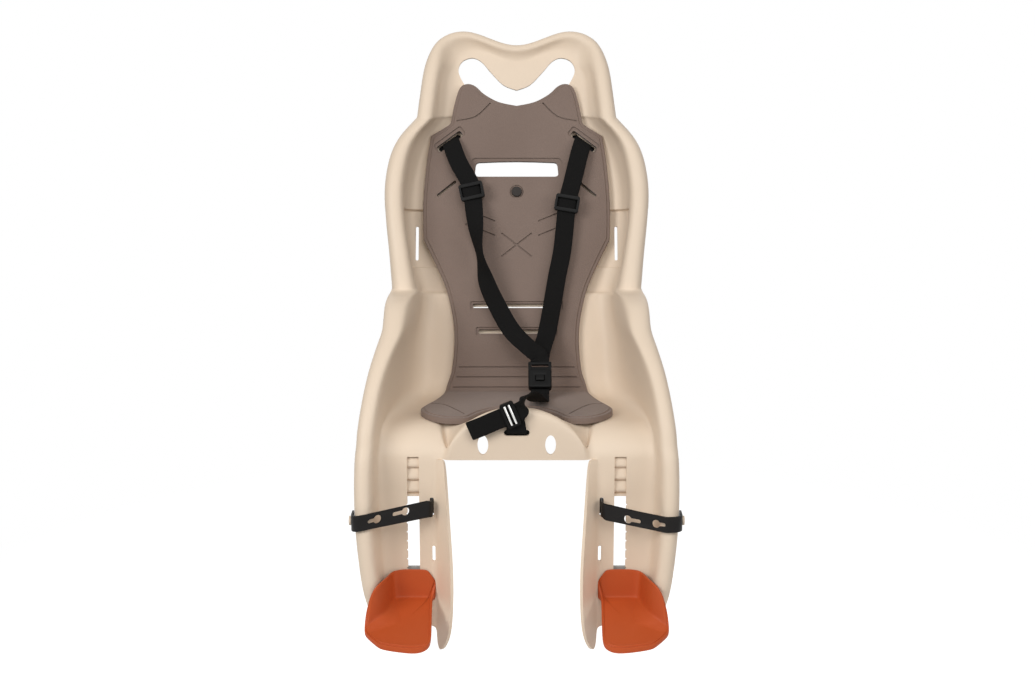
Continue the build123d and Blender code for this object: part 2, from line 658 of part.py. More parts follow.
with BuildPart() as foot_pocket:
    with BuildSketch(Plane.XY.offset(FOOT_TOP_Z + 1)):
        with BuildLine():
            FilletPolyline(*FOOT_PLAN, radius=FOOT_CORNER_R, close=True)
        make_face()
        offset(amount=-FOOT_WALL, mode=Mode.REPLACE)
    extrude(amount=-90, taper=FOOT_TAPER)
    with BuildSketch(Plane.YZ):
        with BuildLine():
            Polyline(
                (FOOT_BACK_Y + 5, floor_line(FOOT_BACK_Y + 5, FOOT_WALL)),
                (-230, floor_line(-230, FOOT_WALL)),
                (-230, FOOT_TOP_Z + 20),
                (FOOT_BACK_Y + 5, FOOT_TOP_Z + 20),
                close=True,
            )
        make_face()
    extrude(amount=WIDE, both=True, mode=Mode.INTERSECT)
    fillet(foot_pocket.faces().sort_by(Axis.Z)[0].edges(), FOOT_CREASE_R)
with BuildPart() as left_footrest:
    with BuildSketch(Plane.XY.offset(FOOT_FLOOR_Z - 60)):
        with BuildLine():
            FilletPolyline(*FOOT_PLAN, radius=FOOT_CORNER_R, close=True)
        make_face()
    extrude(amount=140)
    # Side outline: underside with a thick front lip, low front, tall rear.
    with BuildSketch(Plane.YZ):
        with BuildLine():
            Polyline(
                (FOOT_BACK_Y + 5, floor_line(FOOT_BACK_Y + 5, 0)),
                (-194, floor_line(-194, 0)),
                (-202, floor_line(-202, -6)),
                (-230, floor_line(-230, -6)),
                (-230, floor_line(-230, FOOT_WALL + 2.5)),
                (-184, floor_line(-184, FOOT_WALL + 2.5)),
            )
            Spline((-184, floor_line(-184, FOOT_WALL + 2.5)), (-175, -226), (-168, -212), (-163, FOOT_TOP_Z))
            Polyline(
                (-163, FOOT_TOP_Z), (FOOT_BACK_Y + 5, FOOT_TOP_Z), (FOOT_BACK_Y + 5, floor_line(FOOT_BACK_Y + 5, 0))
            )
        make_face()
    extrude(amount=WIDE, both=True, mode=Mode.INTERSECT)
    # Front outline: a cut corner on the inner side, a long rounded fall on the outer side.
    with BuildSketch(Plane.XZ.offset(80)):
        with BuildLine():
            Polyline(*FOOT_FRONT[:3])
            Spline(*FOOT_FRONT[2:])
            Polyline(FOOT_FRONT[-1], (FOOT_FRONT[-1][0], -280), (FOOT_FRONT[0][0], -280), FOOT_FRONT[0])
        make_face()
    extrude(amount=160, mode=Mode.INTERSECT)
    add(foot_pocket.part, mode=Mode.SUBTRACT)
    # The inner side stays low beyond the corner of the rear wall.
    with BuildSketch(Plane.YZ.offset(FOOT_PLAN[0][0] - 1)):
        with BuildLine():
            Polyline(
                (FOOT_BACK_Y - 4, -197),
                (FOOT_BACK_Y - 4, FOOT_TOP_Z + 5),
                (-190, FOOT_TOP_Z + 5),
                (-190, floor_line(-190, FOOT_WALL + 2.5)),
                (-126, floor_line(-126, FOOT_WALL + 3)),
                close=True,
            )
        make_face()
    extrude(amount=24, mode=Mode.SUBTRACT)
    with Locations((FOOT_SLOT_X, FOOT_BACK_Y - 1, NECK_Z[0])):
        Box(
            2 * NECK_HALF, WALL + 2 * FOOT_GAP + 1, NECK_Z[1] - NECK_Z[0], align=(Align.CENTER, Align.MIN, Align.MIN)
        )
left_footrest.part.label = "left_footrest"
export_step(left_footrest.part, "parts/left_footrest.step")
with BuildPart() as right_footrest:
    add(mirror(left_footrest.part, about=Plane.YZ, mode=Mode.PRIVATE))
right_footrest.part.label = "right_footrest"
export_step(right_footrest.part, "parts/right_footrest.step")

# Lock plate behind the shin panel, fast to the footrest's neck.
with BuildPart() as left_footrest_lock:
    with Locations((FOOT_SLOT_X, LOCK_Y, LOCK_Z[0])):
        Box(2 * LOCK_HALF, LOCK_T, LOCK_Z[1] - LOCK_Z[0], align=(Align.CENTER, Align.MIN, Align.MIN))
    fillet(left_footrest_lock.edges().filter_by(Axis.Y), 3)
left_footrest_lock.part.label = "left_footrest_lock"
export_step(left_footrest_lock.part, "parts/left_footrest_lock.step")
with BuildPart() as right_footrest_lock:
    add(mirror(left_footrest_lock.part, about=Plane.YZ, mode=Mode.PRIVATE))
right_footrest_lock.part.label = "right_footrest_lock"
export_step(right_footrest_lock.part, "parts/right_footrest_lock.step")

# Left foot strap: a rubber band from its slot across the channel and round the outer rim to the stud, a little lower.
STRAP_DROP = FOOT_STRAP_SLOT_Z[0] - STUD_Z
STRAP_RUN = STRAP_PATH[-1][0] - STRAP_PATH[0][0]
with BuildPart() as left_foot_strap:
    with BuildSketch(Plane.XY.offset(FOOT_STRAP_SLOT_Z[0] - 2 * FOOT_STRAP_W)):
        with BuildLine():
            FilletPolyline(*STRAP_PATH, radius=STRAP_BEND_R)
            offset(amount=FOOT_STRAP_T, side=Side.RIGHT)
        make_face()
    extrude(amount=4 * FOOT_STRAP_W)
    with BuildSketch(Plane.XZ.offset(80)):
        with BuildLine():
            Polyline(
                (100, FOOT_STRAP_SLOT_Z[0] + FOOT_STRAP_W / 2),
                (STRAP_PATH[0][0], FOOT_STRAP_SLOT_Z[0] + FOOT_STRAP_W / 2),
                (STRAP_PATH[-1][0], STUD_Z + FOOT_STRAP_W / 2),
                (STRAP_PATH[-1][0] + 9, STUD_Z + FOOT_STRAP_W / 2),
                (STRAP_PATH[-1][0] + 9, STUD_Z - FOOT_STRAP_W / 2),
                (STRAP_PATH[-1][0], STUD_Z - FOOT_STRAP_W / 2),
                (STRAP_PATH[0][0], FOOT_STRAP_SLOT_Z[0] - FOOT_STRAP_W / 2),
                (100, FOOT_STRAP_SLOT_Z[0] - FOOT_STRAP_W / 2),
                close=True,
            )
        make_face()
    extrude(amount=100, mode=Mode.INTERSECT)
    with BuildSketch(Plane.YZ.offset(STUD_X[0])):
        with Locations((STUD_Y, STUD_Z)):
            Circle(STUD_NECK_R + 0.6)
    extrude(amount=20, mode=Mode.SUBTRACT)
    for start_x, end_x in KEYHOLES:
        y = STRAP_PATH[1][1] - (start_x - STRAP_PATH[1][0]) * STRAP_SLOPE
        z = FOOT_STRAP_SLOT_Z[0] - STRAP_DROP * (start_x - STRAP_PATH[0][0]) / STRAP_RUN
        facing = Plane(
            origin=(start_x, y + 6, z),
            x_dir=(1, -STRAP_SLOPE, -STRAP_DROP / STRAP_RUN),
            z_dir=(-STRAP_SLOPE, -1, 0),
        )
        with BuildSketch(facing):
            Circle(KEYHOLE_R[0])
            with Locations(((end_x - start_x) / 2, 0)):
                SlotOverall(end_x - start_x + 2 * KEYHOLE_R[1], 2 * KEYHOLE_R[1])
        extrude(amount=16, mode=Mode.SUBTRACT)
    with Locations((FOOT_STRAP_SLOT_X, SHIN_Y + WALL + FOOT_GAP, FOOT_STRAP_SLOT_Z[0])):
        Box(9, 4, FOOT_STRAP_W, align=(Align.CENTER, Align.MIN, Align.CENTER))
left_foot_strap.part.label = "left_foot_strap"
export_step(left_foot_strap.part, "parts/left_foot_strap.step")
with BuildPart() as right_foot_strap:
    add(mirror(left_foot_strap.part, about=Plane.YZ, mode=Mode.PRIVATE))
right_foot_strap.part.label = "right_foot_strap"
export_step(right_foot_strap.part, "parts/right_foot_strap.step")


def on_back(x, w, ahead):
    """Point at a place on the backrest and a distance in front of it."""
    return BACK_PLANE.from_local_coords((x, w, ahead))


def crossings(route):
    """Planes that cut a route of points square, each with its x along the given direction across the webbing."""
    points = [Vector(point) for point, across in route]
    planes = []
    for i, (point, across) in enumerate(route):
        along = (points[min(i + 1, len(points) - 1)] - points[max(i - 1, 0)]).normalized()
        across = Vector(across) - along * Vector(across).dot(along)
        planes.append(Plane(origin=points[i], x_dir=across, z_dir=along))
    return planes


def webbing(planes):
    """Flat webbing through crossing planes."""
    with BuildPart() as band:
        for plane in planes:
            with BuildSketch(plane):
                Rectangle(WEB_W, WEB_T)
        loft(ruled=True)
    return band.part


def ladder_lock(crossing, size, bar_w):
    """Frame round the webbing at one crossing: rear plate, two rails and two front bars."""
    width, length, depth = size
    frame = Plane(origin=crossing.origin, x_dir=crossing.x_dir, z_dir=crossing.y_dir)
    with BuildPart() as lock:
        with BuildSketch(frame.offset(-depth / 2)):
            RectangleRounded(width, length, 3)
        extrude(amount=depth)
        with BuildSketch(frame.offset(-depth / 2 + 2)):
            Rectangle(width - 6, length + 2)
        extrude(amount=depth - 4, mode=Mode.SUBTRACT)
        with BuildSketch(frame.offset(depth / 2 - 3)):
            Rectangle(width - 6, length - 2 * bar_w)
        extrude(amount=4, mode=Mode.SUBTRACT)
    return lock.part


# Buckle, tilted back over the pan: x across, y up along it, z out of its face.
BUCKLE_PLANE = Plane(
    origin=BUCKLE_AT, x_dir=(1, 0, 0), z_dir=(0, -sin(radians(BUCKLE_TILT)), cos(radians(BUCKLE_TILT)))
)


def on_buckle(x, y, ahead):
    """Point in the buckle's own frame."""
    return BUCKLE_PLANE.from_local_coords((x, y, ahead))


with BuildPart() as buckle_housing:
    with BuildSketch(BUCKLE_PLANE.offset(-BUCKLE[2] / 2)):
        RectangleRounded(BUCKLE[0], BUCKLE[1], 4)
    extrude(amount=BUCKLE[2])
    chamfer(buckle_housing.faces().sort_by(Axis.Y)[0].edges(), 1.2)
    with BuildSketch(BUCKLE_PLANE.offset(BUCKLE[2] / 2)):
        Rectangle(BUTTON[0] + 2 * BUTTON_GAP, BUTTON[1] + 2 * BUTTON_GAP)
    extrude(amount=-BUTTON[2] - BUTTON_TRAVEL + BUTTON_PROUD - BUTTON_GAP, mode=Mode.SUBTRACT)
buckle_housing.part.label = "buckle_housing"
export_step(buckle_housing.part, "parts/buckle_housing.step")

with BuildPart() as buckle_button:
    with BuildSketch(BUCKLE_PLANE.offset(BUCKLE[2] / 2 + BUTTON_PROUD)):
        Rectangle(BUTTON[0], BUTTON[1])
    extrude(amount=-BUTTON[2])
buckle_button.part.label = "buckle_button"
export_step(buckle_button.part, "parts/buckle_button.step")

with BuildPart() as buckle_tongue:
    with BuildSketch(BUCKLE_PLANE.offset(-TONGUE[2] / 2)):
        with Locations((0, BUCKLE[1] / 2)):
            Rectangle(TONGUE[0], TONGUE[1], align=(Align.CENTER, Align.MIN))
        with Locations((0, BUCKLE[1] / 2 + TONGUE[1] / 2)):
            RectangleRounded(TONGUE[0] - 8, 4, 1.5, mode=Mode.SUBTRACT)
    extrude(amount=TONGUE[2])
buckle_tongue.part.label = "buckle_tongue"
export_step(buckle_tongue.part, "parts/buckle_tongue.step")

# Shoulder webbing: the strap slot, over the pad, the adjuster, and on to the buckle's tongue.
TONGUE_TOP = BUCKLE[1] / 2 + TONGUE[1]
LEFT_ROUTE = crossings([
    (on_back(92.5, 350, -WALL - 1), (0.81, 0, -0.56)),
    (on_back(92.5, 350, 8), (0.81, 0, -0.56)),
    (on_back(91, 346, 19), (0.87, 0, -0.46)),
    (on_back(85, 325, 24), (0.96, 0, -0.2)),
    (on_back(77, 292, 26), (0.98, 0, -0.1)),
    (on_back(69, 260, 26), (0.98, 0, 0.1)),
    (on_back(66, 229, 25), (1, 0, 0.08)),
    (on_back(62, 194, 24), (1, 0, 0.1)),
    (on_back(55, 159, 24), (1, 0, 0.1)),
    (on_back(48, 118, 24), (1, 0, 0.1)),
    (on_back(41, 82, 25), (1, 0, 0.1)),
    (on_buckle(3, TONGUE_TOP + 22, -2), (1, 0, 0)),
    (on_buckle(1, TONGUE_TOP + 11, -1.6), (1, 0, 0)),
    (on_buckle(0, TONGUE_TOP + 5, -1.4), (1, 0, 0)),
    (on_buckle(0, TONGUE_TOP, -1.4), (1, 0, 0)),
])
RIGHT_ROUTE = crossings([
    (on_back(-92.5, 350, -WALL - 1), (0.81, 0, 0.56)),
    (on_back(-92.5, 350, 8), (0.81, 0, 0.56)),
    (on_back(-90, 345, 19), (0.88, 0, 0.44)),
    (on_back(-80, 318, 24), (0.96, 0, 0.3)),
    (on_back(-65.4, 291.5, 26), (0.95, 0, 0.3)),
    (on_back(-61.5, 277, 26), (0.95, 0, 0.3)),
    (on_back(-59.3, 262.5, 26.3), (0.95, 0, 0.3)),
    (on_back(-56, 230, 30), (0.85, -0.48, 0.2)),
    (on_back(-50, 188, 34), (0.35, -0.93, 0.1)),
    (on_back(-40, 148, 33), (0.88, -0.4, 0.3)),
    (on_back(-23, 112, 32), (0.85, -0.15, 0.5)),
    (on_back(-6, 83, 35), (0.84, 0, 0.5)),
    (on_buckle(-16, TONGUE_TOP + 21.5, 4.6), (0.87, 0, 0.42)),
    (on_buckle(-3.5, TONGUE_TOP + 11, 3.4), (0.96, 0, 0.2)),
    (on_buckle(0, TONGUE_TOP + 5, 1.5), (1, 0, 0)),
    (on_buckle(0, TONGUE_TOP, 1.5), (1, 0, 0)),
])
LOCK_AT = 5

with BuildPart() as left_strap_upper:
    add(webbing(LEFT_ROUTE[: LOCK_AT + 1]))
left_strap_upper.part.label = "left_strap_upper"
export_step(left_strap_upper.part, "parts/left_strap_upper.step")
with BuildPart() as left_strap_lower:
    add(webbing(LEFT_ROUTE[LOCK_AT:]))
left_strap_lower.part.label = "left_strap_lower"
export_step(left_strap_lower.part, "parts/left_strap_lower.step")
with BuildPart() as right_strap_upper:
    add(webbing(RIGHT_ROUTE[: LOCK_AT + 1]))
right_strap_upper.part.label = "right_strap_upper"
export_step(right_strap_upper.part, "parts/right_strap_upper.step")
with BuildPart() as right_strap_lower:
    add(webbing(RIGHT_ROUTE[LOCK_AT:]))
right_strap_lower.part.label = "right_strap_lower"
export_step(right_strap_lower.part, "parts/right_strap_lower.step")

with BuildPart() as left_adjuster:
    add(ladder_lock(LEFT_ROUTE[LOCK_AT], ADJUSTER, ADJUSTER_BAR))
left_adjuster.part.label = "left_adjuster"
export_step(left_adjuster.part, "parts/left_adjuster.step")
with BuildPart() as right_adjuster:
    add(ladder_lock(RIGHT_ROUTE[LOCK_AT], ADJUSTER, ADJUSTER_BAR))
right_adjuster.part.label = "right_adjuster"
export_step(right_adjuster.part, "parts/right_adjuster.step")

# Anchor bars behind the backrest, wider than the strap slots.
with BuildPart() as left_strap_anchor:
    with BuildSketch(BACK_PLANE.offset(-WALL - 1)):
        with Locations((STRAP_SLOT_AT[0], STRAP_SLOT_AT[1])):
            SlotOverall(ANCHOR[0], ANCHOR[1], rotation=-STRAP_SLOT_LEAN)
    extrude(amount=-ANCHOR[2])
left_strap_anchor.part.label = "left_strap_anchor"
export_step(left_strap_anchor.part, "parts/left_strap_anchor.step")
with BuildPart() as right_strap_anchor:
    add(mirror(left_strap_anchor.part, about=Plane.YZ, mode=Mode.PRIVATE))
right_strap_anchor.part.label = "right_strap_anchor"
export_step(right_strap_anchor.part, "parts/right_strap_anchor.step")

# Crotch strap: from the buckle over the pommel, through the slider, to a loose tail.
CROTCH_FRONT_Y = POMMEL_FRONT_Y - 9.6
CROTCH_RUN = Vector(-0.92, 0, -0.39)
CROTCH_ACROSS = (0.39, 0, -0.92)
SLIDER_CENTRE = Vector(-8, CROTCH_FRONT_Y, 28)
CROTCH_ROUTE = crossings([
    (on_buckle(0, -BUCKLE[1] / 2, 0), (-1, 0, 0)),
    (on_buckle(0, -BUCKLE[1] / 2 - 4, 0), (-1, 0, 0)),
    (on_buckle(-0.3, -BUCKLE[1] / 2 - 8, 0.3), (-1, 0, 0)),
    ((29, 5, 18), (-1, 0.05, 0)),
    ((27, -15, 20), (-1, 0.1, 0)),
    ((22, -50, 31), (-1, 0.2, -0.1)),
    ((17, -84, 44), (-0.9, 0.35, -0.2)),
    ((13, -104, 49), (-0.75, 0.3, -0.5)),
    ((9, -116, 43), (-0.2, 0.3, -0.95)),
    (SLIDER_CENTRE - CROTCH_RUN * 12, CROTCH_ACROSS),
    (SLIDER_CENTRE, CROTCH_ACROSS),
    (SLIDER_CENTRE + CROTCH_RUN * 12, CROTCH_ACROSS),
    (SLIDER_CENTRE + CROTCH_RUN * 22, CROTCH_ACROSS),
    (SLIDER_CENTRE + CROTCH_RUN * 38 - Vector(0, 1.5, 0), CROTCH_ACROSS),
    (SLIDER_CENTRE + CROTCH_RUN * 56, CROTCH_ACROSS),
])
SLIDER_AT = 10
with BuildPart() as crotch_strap:
    add(webbing(CROTCH_ROUTE[: SLIDER_AT + 1]))
crotch_strap.part.label = "crotch_strap"
export_step(crotch_strap.part, "parts/crotch_strap.step")
with BuildPart() as crotch_strap_tail:
    add(webbing(CROTCH_ROUTE[SLIDER_AT:]))
crotch_strap_tail.part.label = "crotch_strap_tail"
export_step(crotch_strap_tail.part, "parts/crotch_strap_tail.step")
with BuildPart() as crotch_slider:
    add(ladder_lock(CROTCH_ROUTE[SLIDER_AT], SLIDER, 3.5))
crotch_slider.part.label = "crotch_slider"
export_step(crotch_slider.part, "parts/crotch_slider.step")

# Two steel bars across the slider's window.
SLIDER_SQUARE = CROTCH_ROUTE[SLIDER_AT]
SLIDER_SIDE = Plane(SLIDER_SQUARE.origin, x_dir=SLIDER_SQUARE.y_dir, z_dir=SLIDER_SQUARE.x_dir)
SLIDER_END = SLIDER_SIDE.offset(3 - SLIDER[0] / 2)
with BuildPart() as crotch_slider_bar_near:
    with BuildSketch(SLIDER_END):
        with Locations((SLIDER_BAR_R + 1, 3)):
            Circle(SLIDER_BAR_R)
    extrude(amount=SLIDER[0] - 6)
crotch_slider_bar_near.part.label = "crotch_slider_bar_near"
export_step(crotch_slider_bar_near.part, "parts/crotch_slider_bar_near.step")
with BuildPart() as crotch_slider_bar_far:
    with BuildSketch(SLIDER_END):
        with Locations((SLIDER_BAR_R + 1, -3)):
            Circle(SLIDER_BAR_R)
    extrude(amount=SLIDER[0] - 6)
crotch_slider_bar_far.part.label = "crotch_slider_bar_far"
export_step(crotch_slider_bar_far.part, "parts/crotch_slider_bar_far.step")

# Base of the crotch strap: from behind the apron, out of its slot and up behind the slider.
BASE_START_Y = POMMEL_FRONT_Y + WALL + 1.5
BASE_ROUTE = crossings([
    ((0, BASE_START_Y, CROTCH_SLOT_Z), (1, 0, 0)),
    ((0, POMMEL_FRONT_Y - 2, CROTCH_SLOT_Z), (1, 0, 0)),
    ((0, POMMEL_FRONT_Y - 4.2, CROTCH_SLOT_Z + 2.4), (1, 0, 0)),
    ((-1, POMMEL_FRONT_Y - 5, CROTCH_SLOT_Z + 10), (1, 0, 0.1)),
    ((-3, POMMEL_FRONT_Y - 5, CROTCH_SLOT_Z + 20), (1, 0, 0.15)),
])
with BuildPart() as crotch_base:
    add(webbing(BASE_ROUTE))
crotch_base.part.label = "crotch_base"
export_step(crotch_base.part, "parts/crotch_base.step")
with BuildPart() as crotch_anchor:
    with BuildSketch(Plane.XZ.offset(-BASE_START_Y)):
        with Locations((0, CROTCH_SLOT_Z)):
            SlotOverall(ANCHOR[0], ANCHOR[1] + 3)
    extrude(amount=-ANCHOR[2])
crotch_anchor.part.label = "crotch_anchor"
export_step(crotch_anchor.part, "parts/crotch_anchor.step")
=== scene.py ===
"""Dressed model of a rear child seat for a bicycle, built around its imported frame."""

import logging
import math
from collections.abc import Iterator
from contextlib import contextmanager
from dataclasses import dataclass
from enum import Enum

import bmesh
import bpy
from mathutils import Matrix, Vector


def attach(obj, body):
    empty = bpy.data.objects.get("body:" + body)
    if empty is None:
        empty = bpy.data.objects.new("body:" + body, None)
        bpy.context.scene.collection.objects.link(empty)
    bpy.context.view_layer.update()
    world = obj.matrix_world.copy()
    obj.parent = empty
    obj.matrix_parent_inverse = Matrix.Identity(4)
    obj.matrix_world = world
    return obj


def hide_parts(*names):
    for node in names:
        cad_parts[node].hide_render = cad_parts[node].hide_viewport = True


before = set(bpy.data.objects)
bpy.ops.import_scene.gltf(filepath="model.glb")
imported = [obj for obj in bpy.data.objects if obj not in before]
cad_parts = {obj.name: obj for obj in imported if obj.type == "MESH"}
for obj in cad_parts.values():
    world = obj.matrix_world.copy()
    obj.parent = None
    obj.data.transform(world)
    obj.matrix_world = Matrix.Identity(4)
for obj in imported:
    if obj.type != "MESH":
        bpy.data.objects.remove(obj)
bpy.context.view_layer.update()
LOG = logging.getLogger("child_seat")

MM = 0.001
SEAT = "seat"


class Side(Enum):
    """The child's left and right, with the sign of X on each."""

    LEFT = 1
    RIGHT = -1


class Grain(Enum):
    """How coarse a surface feels: scale of its grain and depth of the bump in metres."""

    FINE = (1100.0, 0.00005)
    SATIN = (500.0, 0.00003)
    FOAM = (900.0, 0.00022)


def smooth_line(points: list[Vector], steps: int) -> list[Vector]:
    """Points along a smooth line through the given ones.

    Args:
        points: Places that the line passes through.
        steps: Pieces that each gap is divided into.

    Returns:
        The points of the line, both ends included.
    """
    line = []
    last = len(points) - 1
    for i in range(last):
        here, there = points[i], points[i + 1]
        leave = (there - points[max(i - 1, 0)]) * 0.5
        arrive = (points[min(i + 2, last)] - here) * 0.5
        for step in range(steps):
            t = step / steps
            square = (there - here) * 3 - leave * 2 - arrive
            cube = (here - there) * 2 + leave + arrive
            line.append(here + leave * t + square * t**2 + cube * t**3)
    line.append(points[last].copy())
    return line


def along(rows: list[tuple], level: float) -> list[float]:
    """Read a table at one level of its first column, on smooth curves that never overshoot.

    Args:
        rows: Rows of numbers in order of their first one.
        level: Where to read, held inside the table.

    Returns:
        The row at that level.
    """
    low, high = sorted((rows[0][0], rows[-1][0]))
    level = min(max(level, low), high)
    at = [k for k in range(len(rows) - 1) if (level - rows[k][0]) * (level - rows[k + 1][0]) <= 0][0]
    span = rows[at + 1][0] - rows[at][0]
    t = (level - rows[at][0]) / span
    result = []
    for column in zip(*rows):
        rises = [(b - a) / (q[0] - p[0]) for a, b, p, q in zip(column, column[1:], rows, rows[1:])]
        inner = [2 * a * b / (a + b) if a * b > 0 else 0.0 for a, b in zip(rises, rises[1:])]
        slopes = [rises[0], *inner, rises[-1]]
        result.append(
            (2 * t**3 - 3 * t**2 + 1) * column[at]
            + (t**3 - 2 * t**2 + t) * span * slopes[at]
            + (3 * t**2 - 2 * t**3) * column[at + 1]
            + (t**3 - t**2) * span * slopes[at + 1]
        )
    return result


def ease(value: float, start: float, end: float) -> float:
    """Smooth step from 0 at start to 1 at end."""
    t = min(max((value - start) / (end - start), 0.0), 1.0)
    return t * t * (3 - 2 * t)


@dataclass(frozen=True)
class BackLine:
    """The reclined backrest as a frame of its own, in millimetres."""

    recline: float = math.radians(18.0)
    foot_y: float = 85.0
    foot_z: float = 4.0

    def depth(self, z: float) -> float:
        """Depth of the backrest's face at a height."""
        return self.foot_y + (z - self.foot_z) * math.tan(self.recline)

    def point(self, x: float, w: float, ahead: float) -> Vector:
        """Place x across, w up the backrest and a distance in front of it."""
        sine, cosine = math.sin(self.recline), math.cos(self.recline)
        return Vector((x, self.foot_y + w * sine - ahead * cosine, self.foot_z + w * cosine + ahead * sine))

    def frame(self, x: float, w: float, ahead: float, turn: float = 0.0) -> Matrix:
        """Make a frame whose z looks out of the backrest.

        Args:
            x: Place across.
            w: Place up the backrest.
            ahead: Distance in front of it.
            turn: Turn in its plane, in degrees.

        Returns:
            The frame, in metres.
        """
        lean = Matrix.Rotation(math.pi / 2 - self.recline, 4, "X")
        spin = Matrix.Rotation(math.radians(turn), 4, "Z")
        return Matrix.Translation(self.point(x, w, ahead) * MM) @ lean @ spin


BACK = BackLine()


def mirrored(right: list[Vector]) -> list[Vector]:
    """Close the right half of a flat outline, which starts and ends on the middle."""
    return right + [Vector((-p.x, p.y)) for p in reversed(right[1:-1])]


def new_object(name: str, bm: bmesh.types.BMesh) -> bpy.types.Object:
    """Make an object of a bmesh at the origin.

    Args:
        name: Name of the piece.
        bm: Its finished mesh, which is freed.

    Returns:
        The new object, linked to the scene.
    """
    mesh = bpy.data.meshes.new(name)
    bm.to_mesh(mesh)
    bm.free()
    obj = bpy.data.objects.new(name, mesh)
    bpy.context.scene.collection.objects.link(obj)
    return obj


@contextmanager
def reshaping(obj: bpy.types.Object) -> Iterator[bmesh.types.BMesh]:
    """Open an object's mesh for bmesh operators and write it back afterwards.

    Args:
        obj: The piece.

    Yields:
        Its mesh.
    """
    bm = bmesh.new()
    bm.from_mesh(obj.data)
    yield bm
    bm.to_mesh(obj.data)
    bm.free()


def apply_modifiers(obj: bpy.types.Object) -> None:
    """Turn an object's modifiers into its mesh.

    Args:
        obj: The piece.
    """
    graph = bpy.context.evaluated_depsgraph_get()
    final = obj.evaluated_get(graph)
    mesh = bpy.data.meshes.new_from_object(final, preserve_all_data_layers=True, depsgraph=graph)
    obj.modifiers.clear()
    old = obj.data
    obj.data = mesh
    bpy.data.meshes.remove(old)
    mesh.name = obj.name


def smooth_by_angle(obj: bpy.types.Object, degrees: float) -> None:
    """Shade an object smooth, with its sharper edges left crisp.

    Args:
        obj: The piece.
        degrees: Angle past which an edge is sharp.
    """
    mesh = obj.data
    mesh.polygons.foreach_set("use_smooth", [True] * len(mesh.polygons))
    mesh.set_sharp_from_angle(angle=math.radians(degrees))


def add_subdivision(obj: bpy.types.Object, levels: int) -> None:
    """Add a subdivision surface with the same levels in view and render.

    Args:
        obj: The piece.
        levels: How often its faces are divided.
    """
    modifier = obj.modifiers.new("round", "SUBSURF")
    modifier.levels = levels
    modifier.render_levels = levels


def rounded_prism(
    bm: bmesh.types.BMesh,
    place: Matrix,
    width: float,
    height: float,
    radius: float,
    low: float,
    high: float,
) -> None:
    """Add a prism with a rounded rectangle as its base.

    Args:
        bm: The mesh that it is added to.
        place: Frame of the base, in metres.
        width: Size along the frame's x, in millimetres.
        height: Size along its y.
        radius: Radius of the corners.
        low: Where the prism starts along the frame's z.
        high: Where it ends.
    """
    turn = Matrix.Rotation(math.radians(7.5), 4, "Z")
    ring = bmesh.ops.create_circle(bm, cap_ends=True, segments=24, radius=radius * MM, matrix=turn)["verts"]
    for vert in ring:
        vert.co.x += math.copysign(width / 2 - radius, vert.co.x) * MM
        vert.co.y += math.copysign(height / 2 - radius, vert.co.y) * MM
        vert.co.z = low * MM
    extrude_prism(bm, ring, (high - low) * MM, place)


def extrude_prism(bm: bmesh.types.BMesh, ring: list, height: float, place: Matrix) -> None:
    """Raise a flat face into a prism and put it in place.

    Args:
        bm: The mesh that holds the face.
        ring: The face's vertices.
        height: How far it is raised, in metres along z.
        place: Frame that the prism is moved to.
    """
    face = next(f for f in ring[0].link_faces if len(f.verts) == len(ring))
    raised = bmesh.ops.extrude_face_region(bm, geom=[face], use_keep_orig=True)["geom"]
    top = [item for item in raised if isinstance(item, bmesh.types.BMVert)]
    bmesh.ops.translate(bm, verts=top, vec=(0, 0, height))
    both = list(ring) + top
    bmesh.ops.recalc_face_normals(bm, faces=list({f for v in both for f in v.link_faces}))
    bmesh.ops.transform(bm, verts=both, matrix=place)


def outline_prism(
    bm: bmesh.types.BMesh, place: Matrix, outline: list[Vector], low: float, high: float
) -> None:
    """Add a prism on a closed outline.

    Args:
        bm: The mesh that it is added to.
        place: Frame of the base, in metres.
        outline: Its points in the frame's own plane, in millimetres.
        low: Where the prism starts along the frame's z.
        high: Where it ends.
    """
    ring = [bm.verts.new((p.x * MM, p.y * MM, low * MM)) for p in outline]
    bm.faces.new(ring)
    extrude_prism(bm, ring, (high - low) * MM, place)


def cut_away(obj: bpy.types.Object, cutter: bmesh.types.BMesh) -> None:
    """Cut a mesh of closed prisms out of an object.

    Args:
        obj: The piece that is cut, a closed mesh.
        cutter: Prisms that don't cross each other, freed afterwards.
    """
    tool = new_object("cutter", cutter)
    modifier = obj.modifiers.new("openings", "BOOLEAN")
    modifier.operation = "DIFFERENCE"
    modifier.solver = "MANIFOLD"
    modifier.object = tool
    apply_modifiers(obj)
    bpy.data.objects.remove(tool)


